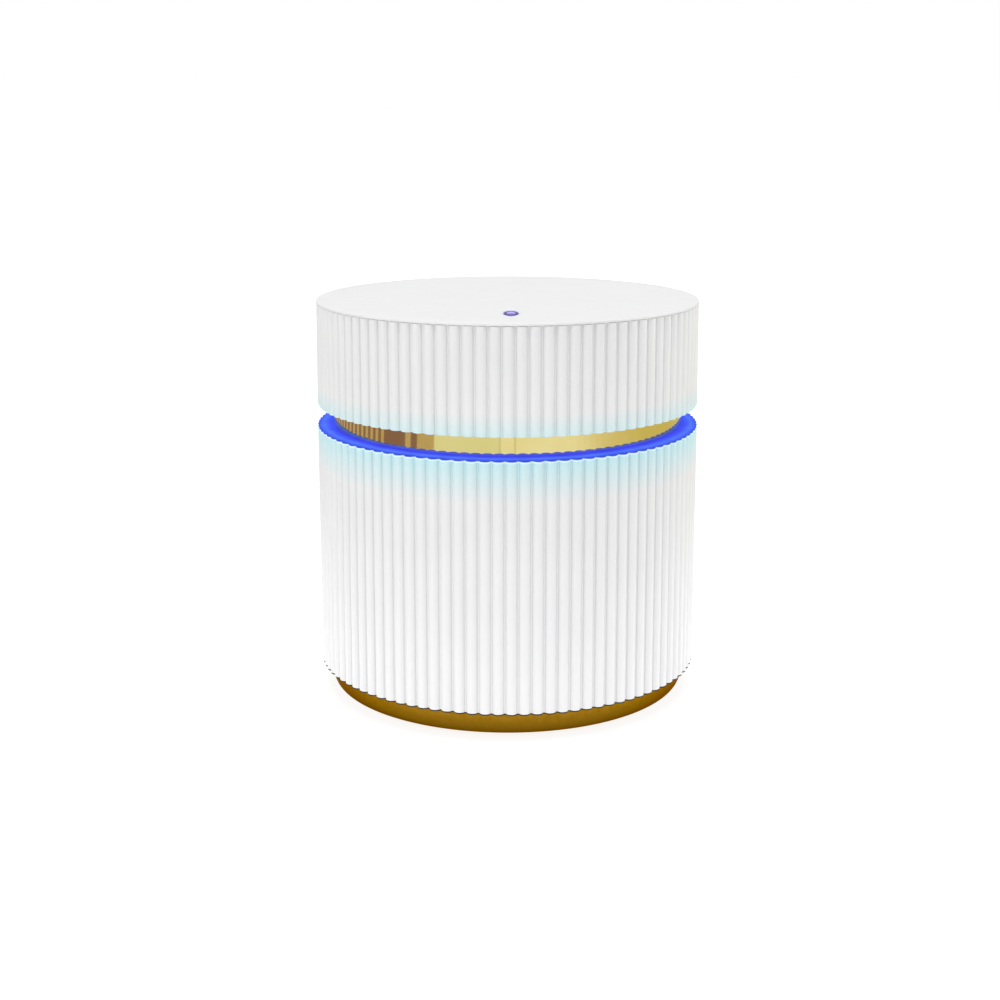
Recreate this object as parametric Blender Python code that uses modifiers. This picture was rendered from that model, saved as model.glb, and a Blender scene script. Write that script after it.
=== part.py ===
"""Wireless router: a fluted white cylinder on a gold base, with a lit ring under its cap.

The front is -Y and the ports are at the back, +Y. The feet stand on z = 0. Sizes are given in
millimetres and are turned into metres where the shapes are made.
"""

import math

import bmesh
import bpy
from mathutils import Matrix, Vector

MM = 0.001
GAP = 0.3
CUT_MARGIN = 2.0

# Outside of the object
BODY_RADIUS = 55.0
FLUTE_COUNT = 96
FLUTE_DEPTH = 1.1
FLUTE_STEPS = 3
UPPER_PHASE = 0.0
LOWER_PHASE = 0.25
WALL_BORE = 51.9

# Heights of the visible parts
BASE_BOTTOM = 0.8
FLUTE_BOTTOM = 7.8
RING_TOP = 77.5
RING_THICKNESS = 0.8
CAP_BOTTOM = 83.5
TOP = 113.4

# Base
BASE_TOP_RADIUS = 52.0
BASE_WAIST_RADIUS = 51.4
BASE_EDGE = 2.4
BASE_FLOOR = 2.8
BASE_BORE = 49.6
SPIGOT_RADIUS = 51.5
SPIGOT_TOP = 10.5
FOOT_RADIUS = 5.0
FOOT_CIRCLE = 36.0
FOOT_HEIGHT = 1.3
FOOT_EDGE = 0.25
FOOT_POCKET_TOP = 1.6
VENT_COUNT = 20
VENT_LENGTH = 9.0
VENT_WIDTH = 1.8
VENT_CIRCLE = 22.0

# Screws from the base into the pillars of the lower shell
BASE_SCREW_CIRCLE = 44.5
BASE_SCREW_ANGLES = (10, 170, 235, 305)
BASE_SCREW_SEAT = 7.0
BASE_SCREW_SHANK = 1.25
BASE_SCREW_LENGTH = 15.0
TRAY_BOSS_RADIUS = 4.6
PILLAR_RADIUS = 3.6
PILLAR_TOP = 30.0
PILLAR_BORE_TOP = 25.0
TAB_REACH = WALL_BORE + 0.8

# Neck
NECK_RADIUS = 50.6
NECK_BORE = 49.3
NECK_BOTTOM = 72.7
RING_BORE = 50.9
SKIRT_RADIUS = 51.6
SPOOL_BORE = 47.0
SPOOL_RADIUS = 49.0
SPOOL_FLANGE = 51.5
SPOOL_BOTTOM = 68.5
SPOOL_TOP = 90.0
SPOOL_EYE = 40.0
FLANGE_THICKNESS = 2.0
LEDGE_BORE = 50.0
STRIP_THICKNESS = 0.8
LED_COUNT = 24
LED_CIRCLE = 50.4

# Screws from the spool into the bosses of the cap
CAP_LIP = 1.8
CAP_SCREW_CIRCLE = 44.2
CAP_SCREW_ANGLES = (0, 90, 180, 270)
CAP_SCREW_SHANK = 1.2
CAP_SCREW_LENGTH = 8.0
CAP_BOSS_RADIUS = 2.9
CAP_BOSS_TOP = 98.0

# Top disc and status light, an oval that is longer from front to back than across
LIP_THICKNESS = 0.4
LIP_CHAMFER = 0.15
PLUG_RADIUS = 51.5
PLUG_BOTTOM = 110.6
LENS_RADIUS = 1.9
LENS_LENGTHENING = 2.6
LENS_CLEARANCE = 0.2
LENS_FLANGE = 3.0
LENS_FLANGE_THICKNESS = 1.4
LENS_PLACE = (0.8, -34.4)
STATUS_BOARD_TOP = 107.9
STATUS_BOARD_HALF = (6.0, 4.0)
STATUS_BOARD_THICKNESS = 1.0
STATUS_LED_HALF = 1.0
STATUS_LED_SUNK = 0.5
STATUS_LED_RISE = 0.7

# Port recess
WINDOW_HALF = 25.0
WINDOW_LOW = 12.5
WINDOW_HIGH = 38.0
WINDOW_CORNER = 2.5
PANEL_FACE = 43.5
PANEL_BACK = 42.0
TUB_WALL = 1.6
TUB_RADIUS = 51.6

# Main board
BOARD_RADIUS = 40.0
BOARD_BOTTOM = 12.0
BOARD_TOP = 13.6
BOARD_STAND = BOARD_TOP + GAP
STANDOFF_CIRCLE = 34.0
STANDOFF_ANGLES = (30, 150, 225, 315)
STANDOFF_RADIUS = 3.0
BOARD_SCREW_SHANK = 1.1
BOARD_SCREW_LENGTH = 7.0

# Packages on the board: corners in X and Y, and heights over its screws' seats
PROCESSOR = ((-7, -14), (7, 0))
PROCESSOR_HEIGHT = 1.2
SHIELDS = (((25, -12), (37, 8)), ((-10, -38), (10, -30)))
SHIELD_HEIGHT = 2.0
TRANSFORMER = ((4, 15.5), (18, 21.5))
TRANSFORMER_HEIGHT = 5.0
CAPACITORS = ((-33, 4), (-33, -6))
CAPACITOR_RADIUS = 3.2
CAPACITOR_HEIGHT = 8.0
PACKAGE_EDGE = 0.3

# Sockets, as (width, depth, height); their fronts pass through the panel
PORT_FRONT = PANEL_FACE + 0.3
PORT_SIZE = (15.8, 21.3, 13.2)
PORT_DEPTH = 13.5
PORT_FLOOR = BOARD_STAND + 1.4
# Right half of a socket's mouth, as (distance from its middle, height over its floor)
MOUTH_STEPS = ((5.9, 0.0), (5.9, 8.2), (3.2, 8.2), (3.2, 9.8), (1.8, 9.8), (1.8, 11.0))
WIRE_COUNT = 8
WIRE_PITCH = 1.02
WIRE_HALF = 0.23
WIRE_REACH = 6.5
WIRE_HALF_THICKNESS = 0.15
WIRE_STRIP_HALF = 4.4
WIRE_STRIP_DEPTH = 1.2
WIRE_BACK = 10.6
WIRE_RISE = 2.5
WIRE_LEAN = -15
WAN_X = -3.5
LAN_X = 14.9
JACK_SIZE = (9.0, 14.8, 11.0)
JACK_X = -18.5
JACK_BORE = 3.2
JACK_DEPTH = 10.5
PIN_RADIUS = 1.0

# Buttons behind the panel
BUTTON_Z = 32.4
BUTTON_TRAVEL = 0.8
WPS_X = 10.0
WPS_RADIUS = 3.0
RESET_X = -4.0
RESET_RADIUS = 0.8
RESET_HOLE = 1.15
STEM_RADIUS = 1.5
BUTTON_BOARD_LOW = (-9.0, 26.0)
BUTTON_BOARD_HIGH = (16.0, 39.8)
BUTTON_BOARD_THICKNESS = 1.0
SWITCH_FRONT = 36.9
SWITCH_DEPTH = 4.5
SWITCH_HALF = 3.2
SWITCH_BORE = 1.5
PLUNGER_RADIUS = 1.2

# Heat sink
SINK_HALF = 22.0
SINK_BACK = 14.0
SINK_FRONT = -28.0
SINK_BOTTOM = 16.5
SINK_FLOOR = 19.5
SINK_TOP = 58.0
FIN_COUNT = 9
FIN_THICKNESS = 1.2

# Antennas and cables
ANTENNA_ANGLES = (45, 135, 225, 315)
ANTENNA_CIRCLE = 43.4
ANTENNA_LENGTH = 26.0
ANTENNA_THICKNESS = 0.8
ANTENNA_HEIGHT = 16.0
CABLE_RADIUS = 0.6
CABLE_CIRCLE = 38.5
LED_CABLE_ANGLE = 200
LED_CABLE_CIRCLE = 50.3
NOTCH_WIDTH = 3.0


# ---------------------------------------------------------------- scene and materials

def empty_scene():
    for old in list(bpy.data.objects):
        bpy.data.objects.remove(old, do_unlink=True)


def new_collection(name):
    collection = bpy.data.collections.new(name)
    bpy.context.scene.collection.children.link(collection)
    return collection


def make_material(name, colour, roughness, metallic=0.0, glow=0.0):
    """Plain Principled material; glow is the emission strength of its own colour."""
    material = bpy.data.materials.new(name)
    material.use_nodes = True
    shader = material.node_tree.nodes["Principled BSDF"]
    shader.inputs["Base Color"].default_value = (*colour, 1.0)
    shader.inputs["Roughness"].default_value = roughness
    shader.inputs["Metallic"].default_value = metallic
    shader.inputs["Emission Color"].default_value = (*colour, 1.0)
    shader.inputs["Emission Strength"].default_value = glow
    return material


def make_materials():
    return {
        "white": make_material("white_plastic", (0.83, 0.83, 0.84), 0.38),
        "gold": make_material("gold_trim", (0.72, 0.55, 0.22), 0.12, metallic=1.0),
        "base": make_material("base_gold", (0.42, 0.29, 0.06), 0.35, metallic=1.0),
        "glow": make_material("ring_light", (0.04, 0.09, 1.0), 0.4, glow=2.0),
        "rubber": make_material("rubber", (0.05, 0.05, 0.05), 0.85),
        "steel": make_material("steel", (0.55, 0.55, 0.56), 0.35, metallic=1.0),
        "shield": make_material("socket_shield", (0.55, 0.55, 0.56), 0.35, metallic=1.0),
        "black": make_material("black_plastic", (0.03, 0.03, 0.035), 0.45),
        "grey": make_material("grey_plastic", (0.42, 0.43, 0.45), 0.5),
        "board": make_material("circuit_board", (0.02, 0.16, 0.07), 0.5),
        "contact": make_material("contact_gold", (0.83, 0.62, 0.25), 0.25, metallic=1.0),
        "aluminium": make_material("aluminium", (0.62, 0.63, 0.65), 0.4, metallic=1.0),
        "pad": make_material("heat_pad_grey", (0.35, 0.38, 0.45), 0.8),
        "cable": make_material("cable_black", (0.04, 0.04, 0.04), 0.6),
    }


# ---------------------------------------------------------------- shapes

def metres(values):
    return Vector([value * MM for value in values])


def polar(radius, degrees):
    angle = math.radians(degrees)
    return radius * math.cos(angle), radius * math.sin(angle)


def circle_of(radius, angles):
    return [polar(radius, angle) for angle in angles]


def object_from(name, shape, location=(0.0, 0.0, 0.0)):
    """Object from a bmesh, with its origin at a place given in millimetres."""
    mesh = bpy.data.meshes.new(name)
    shape.to_mesh(mesh)
    shape.free()
    made = bpy.data.objects.new(name, mesh)
    made.location = metres(location)
    return made


def blocks(name, size, transforms, location=(0.0, 0.0, 0.0)):
    """Separate closed boxes of one size in one mesh."""
    shape = bmesh.new()
    scale = Matrix.Diagonal((*metres(size), 1.0))
    for transform in transforms:
        bmesh.ops.create_cube(shape, size=1.0, matrix=transform @ scale)
    return object_from(name, shape, location)


def box(name, low, high, bevel=0.0):
    """Box between two corners, with its origin at its centre."""
    size = [b - a for a, b in zip(low, high)]
    centre = [(a + b) / 2 for a, b in zip(low, high)]
    made = blocks(name, size, [Matrix.Identity(4)], centre)
    if bevel:
        add_bevel(made, bevel)
    return made


def add_bevel(made, width):
    rounding = made.modifiers.new("edges", "BEVEL")
    rounding.width = width * MM
    rounding.segments = 1
    rounding.angle_limit = math.radians(60)


def cylinders(name, radius, low, high, centres, segments=16):
    """Separate closed upright cylinders of one size in one mesh."""
    shape = bmesh.new()
    for x, y in centres:
        bmesh.ops.create_cone(
            shape, cap_ends=True, segments=segments, radius1=radius * MM, radius2=radius * MM,
            depth=(high - low) * MM, matrix=Matrix.Translation(metres((x, y, 0.0))))
    for face in shape.faces:
        face.smooth = len(face.verts) == 4
    return object_from(name, shape, (0.0, 0.0, (low + high) / 2))


def cylinder(name, radius, low, high, spot, segments=24, along_y=False):
    """Closed cylinder about its own axis: spot is (x, y), or (x, z) when it runs along Y."""
    made = cylinders(name, radius, low, high, [(0.0, 0.0)], segments)
    middle = (low + high) / 2
    if along_y:
        made.location = metres((spot[0], middle, spot[1]))
        made.rotation_euler = (math.pi / 2, 0.0, 0.0)
    else:
        made.location = metres((*spot, middle))
    return made


def turned(name, profile, steps, spot=(0.0, 0.0), base=0.0, along_y=False):
    """Solid turned about its own axis from (radius, height) points, down the outer side first.

    A profile that starts and ends on the axis stays open there; any other is closed to a loop.
    """
    shape = bmesh.new()
    points = [shape.verts.new(metres((radius, 0.0, height - base))) for radius, height in profile]
    pairs = list(zip(points, points[1:]))
    if profile[0][0] > 0.0:
        pairs.append((points[-1], points[0]))
    for pair in pairs:
        shape.edges.new(pair)
    made = object_from(name, shape, (*spot, base))
    spin = made.modifiers.new("turn", "SCREW")
    spin.steps = steps
    spin.render_steps = steps
    spin.use_merge_vertices = True
    spin.merge_threshold = 0.00001
    spin.use_smooth_shade = True
    if along_y:
        made.location = metres((spot[0], base, spot[1]))
        made.rotation_euler = (-math.pi / 2, 0.0, 0.0)
    return made


def extruded(name, outlines, low, high):
    """Flat outlines, filled and run from low to high along Z."""
    curve = bpy.data.curves.new(name, "CURVE")
    curve.dimensions = "2D"
    curve.fill_mode = "BOTH"
    curve.extrude = (high - low) / 2 * MM
    for outline in outlines:
        spline = curve.splines.new("POLY")
        spline.points.add(len(outline) - 1)
        spline.use_cyclic_u = True
        for point, (x, y) in zip(spline.points, outline):
            point.co = (x * MM, y * MM, 0.0, 1.0)
    made = bpy.data.objects.new(name, curve)
    made.location = metres((0.0, 0.0, (low + high) / 2))
    return made


def extruded_along_y(name, outline, front, back):
    """An outline in X and Z, filled and run from y = front to y = back."""
    made = extruded(name, [outline], -back, -front)
    made.location = metres((0.0, (front + back) / 2, 0.0))
    made.rotation_euler = (math.pi / 2, 0.0, 0.0)
    return made


def arc(radius, start, stop, steps, centre=(0.0, 0.0)):
    """Points of an arc, in degrees, both ends included."""
    turn = (stop - start) / steps
    spots = [polar(radius, start + turn * step) for step in range(steps + 1)]
    return [(centre[0] + x, centre[1] + y) for x, y in spots]


def flute_outline(phase):
    """Outline of the fluted wall: convex ribs that meet in narrow grooves."""
    half_chord = (BODY_RADIUS - FLUTE_DEPTH) * math.sin(math.pi / FLUTE_COUNT)
    rib_radius = (half_chord ** 2 + FLUTE_DEPTH ** 2) / (2 * FLUTE_DEPTH)
    rib_centre = BODY_RADIUS - rib_radius
    spread = math.degrees(math.asin(half_chord / rib_radius))
    points = []
    for rib in range(FLUTE_COUNT):
        turn = Matrix.Rotation(math.radians(-90 + (rib + phase) * 360 / FLUTE_COUNT), 2)
        for point in arc(rib_radius, -spread, spread, FLUTE_STEPS, (rib_centre, 0.0))[:-1]:
            points.append(tuple(turn @ Vector(point)))
    return points


def tab_outline(circle, radius, degrees):
    """Round-ended tab that runs from a screw's centre out into the shell's wall."""
    nose = arc(radius, 90, 270, 6, (circle, 0.0)) + [(TAB_REACH, -radius), (TAB_REACH, radius)]
    turn = Matrix.Rotation(math.radians(degrees), 2)
    return [tuple(turn @ Vector(point)) for point in nose]


def rounded_rectangle(half, low, high, corner):
    outline = []
    for side_x, side_z, start in ((1, 1, 0), (-1, 1, 90), (-1, -1, 180), (1, -1, 270)):
        centre_z = high - corner if side_z > 0 else low + corner
        outline += arc(corner, start, start + 90, 4, (side_x * (half - corner), centre_z))
    return outline


# ---------------------------------------------------------------- nodes, cutters and Booleans

class Builder:
    """Holds the collections and materials, and adds finished nodes and their Boolean tools."""

    def __init__(self):
        self.parts = new_collection("wireless_router")
        self.cutters = new_collection("cutters")
        self.materials = make_materials()

    def add(self, made, material):
        made.data.materials.clear()
        made.data.materials.append(self.materials[material])
        self.parts.objects.link(made)
        return made

    def solid(self, made):
        """The same shape as one welded mesh, ready for Boolean modifiers."""
        name = made.name
        made.name = name + "_source"
        self.cutters.objects.link(made)
        graph = bpy.context.evaluated_depsgraph_get()
        mesh = bpy.data.meshes.new_from_object(made.evaluated_get(graph), depsgraph=graph)
        shape = bmesh.new()
        shape.from_mesh(mesh)
        bmesh.ops.remove_doubles(shape, verts=shape.verts, dist=0.000001)
        bmesh.ops.recalc_face_normals(shape, faces=shape.faces)
        shape.to_mesh(mesh)
        shape.free()
        welded = bpy.data.objects.new(name, mesh)
        welded.matrix_world = made.matrix_world.copy()
        bpy.data.objects.remove(made, do_unlink=True)
        return welded

    def combine(self, target, tool, operation):
        self.cutters.objects.link(tool)
        tool.hide_render = True
        tool.display_type = "WIRE"
        step = target.modifiers.new(tool.name, "BOOLEAN")
        step.object = tool
        step.operation = operation
        step.solver = "EXACT"

    def cut(self, target, tool):
        self.combine(target, tool, "DIFFERENCE")

    def join(self, target, tool):
        self.combine(target, tool, "UNION")


def screw(name, spot, seat, head, shank_radius, length, upwards=True):
    """Screw with its head's inner face at the seat height; its shank runs up, or down."""
    head_radius, head_height = head
    way = 1 if upwards else -1
    heights = (seat - way * head_height, seat, seat + way * length)
    profile = [(0.0, heights[0]), (head_radius, heights[0]), (head_radius, heights[1]),
               (shank_radius, heights[1]), (shank_radius, heights[2]), (0.0, heights[2])]
    if upwards:
        profile.reverse()
    return turned(name, profile, 12, spot, seat)


# ---------------------------------------------------------------- base

def build_base(builder):
    edge_centre = (BASE_WAIST_RADIUS - BASE_EDGE, BASE_BOTTOM + BASE_EDGE)
    shelf = FLUTE_BOTTOM - GAP
    tray = turned("base_tray", [
        (0.0, BASE_FLOOR), (BASE_BORE, BASE_FLOOR), (BASE_BORE, SPIGOT_TOP),
        (SPIGOT_RADIUS, SPIGOT_TOP), (SPIGOT_RADIUS, shelf), (BASE_TOP_RADIUS, shelf),
        *arc(BASE_EDGE, 0, -90, 3, edge_centre), (0.0, BASE_BOTTOM)], 72)
    builder.add(tray, "base")
    middle = (BASE_BOTTOM + BASE_FLOOR) / 2
    under = BASE_BOTTOM - CUT_MARGIN
    screws = circle_of(BASE_SCREW_CIRCLE, BASE_SCREW_ANGLES)
    standoffs = circle_of(STANDOFF_CIRCLE, STANDOFF_ANGLES)
    feet = circle_of(FOOT_CIRCLE, (45, 135, 225, 315))
    standoff_top = BOARD_BOTTOM - GAP
    standoff_bore = BOARD_SCREW_SHANK + GAP
    standoff_floor = BOARD_TOP - BOARD_SCREW_LENGTH - GAP
    screw_bore = BASE_SCREW_SHANK + GAP
    builder.join(tray, cylinders("tray_bosses", TRAY_BOSS_RADIUS, middle, SPIGOT_TOP, screws))
    builder.join(tray, cylinders("tray_standoffs", STANDOFF_RADIUS, middle, standoff_top, standoffs))
    builder.cut(tray, cylinders("foot_pockets", FOOT_RADIUS + GAP, under, FOOT_POCKET_TOP, feet))
    builder.cut(tray, cylinders("screw_seats", 3.1, under, BASE_SCREW_SEAT, screws))
    builder.cut(tray, cylinders(
        "screw_holes", screw_bore, BASE_SCREW_SEAT - 1, SPIGOT_TOP + CUT_MARGIN, screws, 12))
    builder.cut(tray, cylinders(
        "standoff_bores", standoff_bore, standoff_floor, standoff_top + CUT_MARGIN, standoffs, 12))
    builder.cut(tray, vent_slots(middle))

    for number, spot in enumerate(feet, 1):
        foot = cylinder(f"foot_{number}", FOOT_RADIUS, 0.0, FOOT_HEIGHT, spot, 16)
        add_bevel(foot, FOOT_EDGE)
        builder.add(foot, "rubber")
    for number, spot in enumerate(screws, 1):
        builder.add(screw(
            f"base_screw_{number}", spot, BASE_SCREW_SEAT - GAP, (2.75, 2.0), BASE_SCREW_SHANK,
            BASE_SCREW_LENGTH), "steel")


def vent_slots(height):
    """Radial slots for cooling air through the floor of the base."""
    transforms = []
    for slot in range(VENT_COUNT):
        turn = Matrix.Rotation(slot * 2 * math.pi / VENT_COUNT, 4, "Z")
        transforms.append(turn @ Matrix.Translation(metres((VENT_CIRCLE, 0.0, 0.0))))
    size = (VENT_LENGTH, VENT_WIDTH, 2 * BASE_FLOOR)
    return blocks("vent_slots", size, transforms, (0.0, 0.0, height))


# ---------------------------------------------------------------- lower body and neck

def build_lower_shell(builder):
    wall_top = RING_TOP - RING_THICKNESS - GAP
    shell = builder.solid(
        extruded("lower_shell", [flute_outline(LOWER_PHASE)], FLUTE_BOTTOM, wall_top))
    builder.add(shell, "white")
    above = wall_top + CUT_MARGIN
    below = FLUTE_BOTTOM - CUT_MARGIN
    ledge_top = SPOOL_BOTTOM - GAP
    ledge_bottom = ledge_top - FLANGE_THICKNESS
    builder.cut(shell, builder.solid(turned("lower_bore", [
        (0.0, above), (WALL_BORE, above), (WALL_BORE, ledge_top), (LEDGE_BORE, ledge_top),
        (LEDGE_BORE, ledge_bottom), (WALL_BORE, ledge_bottom), (WALL_BORE, below),
        (0.0, below)], 72)))
    pillar_bottom = SPIGOT_TOP + GAP
    tabs = [tab_outline(BASE_SCREW_CIRCLE, PILLAR_RADIUS, angle) for angle in BASE_SCREW_ANGLES]
    builder.join(shell, builder.solid(extruded("pillars", tabs, pillar_bottom, PILLAR_TOP)))
    builder.cut(shell, cylinders(
        "pillar_bores", BASE_SCREW_SHANK + GAP, pillar_bottom - CUT_MARGIN, PILLAR_BORE_TOP,
        circle_of(BASE_SCREW_CIRCLE, BASE_SCREW_ANGLES), 12))
    window = rounded_rectangle(WINDOW_HALF, WINDOW_LOW, WINDOW_HIGH, WINDOW_CORNER)
    builder.cut(shell, builder.solid(extruded_along_y(
        "port_window", window, 0.0, BODY_RADIUS + CUT_MARGIN)))
    builder.cut(shell, cable_notch("ledge_notch"))


def cable_notch(name):
    """Slot for the light strip's cable, through the spool's flange and the shell's ledge."""
    low = SPOOL_BOTTOM - GAP - FLANGE_THICKNESS - CUT_MARGIN
    high = SPOOL_BOTTOM + FLANGE_THICKNESS + GAP / 2
    outer = SPOOL_FLANGE + GAP / 2
    centre = metres(((NECK_BORE + outer) / 2, 0.0, 0.0))
    turn = Matrix.Rotation(math.radians(LED_CABLE_ANGLE), 4, "Z")
    size = (outer - NECK_BORE, NOTCH_WIDTH, high - low)
    return blocks(name, size, [turn @ Matrix.Translation(centre)], (0.0, 0.0, (low + high) / 2))


def build_neck(builder):
    flange_top = SPOOL_BOTTOM + FLANGE_THICKNESS
    upper_flange = SPOOL_TOP - FLANGE_THICKNESS
    spool = builder.solid(turned("neck_frame", [
        (SPOOL_FLANGE, SPOOL_TOP), (SPOOL_FLANGE, upper_flange), (SPOOL_RADIUS, upper_flange),
        (SPOOL_RADIUS, flange_top), (SPOOL_FLANGE, flange_top), (SPOOL_FLANGE, SPOOL_BOTTOM),
        (SPOOL_BORE, SPOOL_BOTTOM), (SPOOL_BORE, upper_flange), (SPOOL_EYE, upper_flange),
        (SPOOL_EYE, SPOOL_TOP)], 64))
    builder.add(spool, "grey")
    screws = circle_of(CAP_SCREW_CIRCLE, CAP_SCREW_ANGLES)
    builder.cut(spool, cylinders(
        "flange_holes", CAP_SCREW_SHANK + GAP, upper_flange - CUT_MARGIN, SPOOL_TOP + CUT_MARGIN,
        screws, 12))
    builder.cut(spool, cable_notch("flange_notch"))
    for number, spot in enumerate(screws, 1):
        builder.add(screw(
            f"cap_screw_{number}", spot, upper_flange - GAP, (2.4, 1.8), CAP_SCREW_SHANK,
            CAP_SCREW_LENGTH), "steel")

    band_top = upper_flange - GAP
    builder.add(turned("neck_band", [
        (NECK_RADIUS, band_top), (NECK_RADIUS, NECK_BOTTOM), (NECK_BORE, NECK_BOTTOM),
        (NECK_BORE, band_top)], 96), "gold")

    plate_bottom = RING_TOP - RING_THICKNESS
    axis = (0.0, 0.0)
    ring = builder.solid(extruded(
        "light_ring", [flute_outline(LOWER_PHASE)], plate_bottom, RING_TOP))
    builder.add(ring, "glow")
    builder.join(ring, cylinder(
        "ring_skirt", SKIRT_RADIUS, NECK_BOTTOM, (plate_bottom + RING_TOP) / 2, axis, 96))
    builder.cut(ring, cylinder(
        "ring_bore", RING_BORE, NECK_BOTTOM - CUT_MARGIN, RING_TOP + CUT_MARGIN, axis, 96))

    strip_bottom = flange_top + GAP
    strip_top = strip_bottom + STRIP_THICKNESS
    strip_edge = SPOOL_FLANGE - GAP / 2
    strip = builder.solid(turned("led_strip", [
        (strip_edge, strip_top), (strip_edge, strip_bottom), (NECK_BORE, strip_bottom),
        (NECK_BORE, strip_top)], 48))
    builder.add(strip, "board")
    builder.join(strip, led_packages(strip_top))


def led_packages(strip_top):
    """Light packages round the strip, as separate blocks sunk a little into it."""
    transforms = []
    for package in range(LED_COUNT):
        turn = Matrix.Rotation((package + 0.5) * 2 * math.pi / LED_COUNT, 4, "Z")
        transforms.append(turn @ Matrix.Translation(metres((LED_CIRCLE, 0.0, 0.0))))
    return blocks("led_packages", (1.2, 1.6, 0.8), transforms, (0.0, 0.0, strip_top + 0.2))


# ---------------------------------------------------------------- cap

def build_cap(builder):
    wall_top = TOP - LIP_THICKNESS - GAP
    shell = builder.solid(
        extruded("upper_shell", [flute_outline(UPPER_PHASE)], CAP_BOTTOM, wall_top))
    builder.add(shell, "white")
    above = wall_top + CUT_MARGIN
    below = CAP_BOTTOM - CUT_MARGIN
    lip_top = CAP_BOTTOM + CAP_LIP
    builder.cut(shell, builder.solid(turned("upper_bore", [
        (0.0, above), (WALL_BORE, above), (WALL_BORE, lip_top), (RING_BORE, lip_top),
        (RING_BORE, below), (0.0, below)], 72)))
    boss_bottom = SPOOL_TOP + GAP
    tabs = [tab_outline(CAP_SCREW_CIRCLE, CAP_BOSS_RADIUS, angle) for angle in CAP_SCREW_ANGLES]
    builder.join(shell, builder.solid(extruded("cap_bosses", tabs, boss_bottom, CAP_BOSS_TOP)))
    builder.cut(shell, cylinders(
        "cap_bores", CAP_SCREW_SHANK + GAP, boss_bottom - CUT_MARGIN, CAP_BOSS_TOP - 1,
        circle_of(CAP_SCREW_CIRCLE, CAP_SCREW_ANGLES), 12))


def build_top(builder):
    lip_bottom = TOP - LIP_THICKNESS
    disc = builder.solid(turned("top_plate", [
        (0.0, TOP), (BODY_RADIUS - LIP_CHAMFER, TOP), (BODY_RADIUS, TOP - LIP_CHAMFER),
        (BODY_RADIUS, lip_bottom), (PLUG_RADIUS, lip_bottom), (PLUG_RADIUS, PLUG_BOTTOM),
        (0.0, PLUG_BOTTOM)], 96))
    builder.add(disc, "white")
    hole_radius = LENS_RADIUS + LENS_CLEARANCE
    hole = cylinder("lens_hole", hole_radius, PLUG_BOTTOM - CUT_MARGIN, TOP + CUT_MARGIN, LENS_PLACE)
    hole.scale.y = (LENS_RADIUS * LENS_LENGTHENING + LENS_CLEARANCE) / hole_radius
    builder.cut(disc, hole)

    flange_top = PLUG_BOTTOM - GAP
    flange_bottom = flange_top - LENS_FLANGE_THICKNESS
    lens = turned("status_lens", [
        (0.0, TOP), (LENS_RADIUS - LIP_CHAMFER, TOP), (LENS_RADIUS, TOP - LIP_CHAMFER),
        (LENS_RADIUS, flange_top), (LENS_FLANGE, flange_top), (LENS_FLANGE, flange_bottom),
        (0.0, flange_bottom)], 24, LENS_PLACE, PLUG_BOTTOM)
    lens.scale.y = LENS_LENGTHENING
    builder.add(lens, "glow")

    x, y = LENS_PLACE
    half_x, half_y = STATUS_BOARD_HALF
    board = box("status_board", (x - half_x, y - half_y, STATUS_BOARD_TOP - STATUS_BOARD_THICKNESS),
                (x + half_x, y + half_y, STATUS_BOARD_TOP))
    builder.add(board, "board")
    half = STATUS_LED_HALF
    builder.join(board, box(
        "status_led", (x - half, y - half, STATUS_BOARD_TOP - STATUS_LED_SUNK),
        (x + half, y + half, STATUS_BOARD_TOP + STATUS_LED_RISE)))


# ---------------------------------------------------------------- back panel, sockets and buttons

def build_port_panel(builder):
    """Recessed tub behind the window: a flat panel with walls out to the shell."""
    half = WINDOW_HALF + TUB_WALL
    edge = math.degrees(math.asin(half / TUB_RADIUS))
    outline = arc(TUB_RADIUS, 90 - edge, 90 + edge, 16) + [(-half, PANEL_BACK), (half, PANEL_BACK)]
    tub = builder.solid(
        extruded("port_panel", [outline], WINDOW_LOW - TUB_WALL, WINDOW_HIGH + TUB_WALL))
    builder.add(tub, "white")
    pocket = rounded_rectangle(WINDOW_HALF, WINDOW_LOW, WINDOW_HIGH, WINDOW_CORNER)
    builder.cut(tub, builder.solid(extruded_along_y(
        "tub_pocket", pocket, PANEL_FACE, BODY_RADIUS + CUT_MARGIN)))
    inside = PANEL_BACK - CUT_MARGIN
    outside = PANEL_FACE + CUT_MARGIN
    for name, x, size in (("wan_opening", WAN_X, PORT_SIZE), ("lan_opening", LAN_X, PORT_SIZE),
                          ("jack_opening", JACK_X, JACK_SIZE)):
        reach = size[0] / 2 + GAP
        builder.cut(tub, box(
            name, (x - reach, inside, BOARD_STAND - GAP),
            (x + reach, outside, BOARD_STAND + size[2] + GAP)))
    for name, x, radius in (("wps_opening", WPS_X, WPS_RADIUS + GAP),
                            ("reset_opening", RESET_X, RESET_HOLE)):
        builder.cut(tub, cylinder(name, radius, inside, outside, (x, BUTTON_Z), along_y=True))


def add_network_socket(builder, name, x):
    """Network socket with a stepped keyway at its top for the plug's latch."""
    width, depth, height = PORT_SIZE
    body = box(f"{name}_port", (x - width / 2, PORT_FRONT - depth, BOARD_STAND),
               (x + width / 2, PORT_FRONT, BOARD_STAND + height))
    builder.add(body, "shield")
    right = [(x + across, PORT_FLOOR + up) for across, up in MOUTH_STEPS]
    left = [(x - across, PORT_FLOOR + up) for across, up in reversed(MOUTH_STEPS)]
    builder.cut(body, builder.solid(extruded_along_y(
        f"{name}_mouth", right + left, PORT_FRONT - PORT_DEPTH, PORT_FRONT + CUT_MARGIN)))


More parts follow.
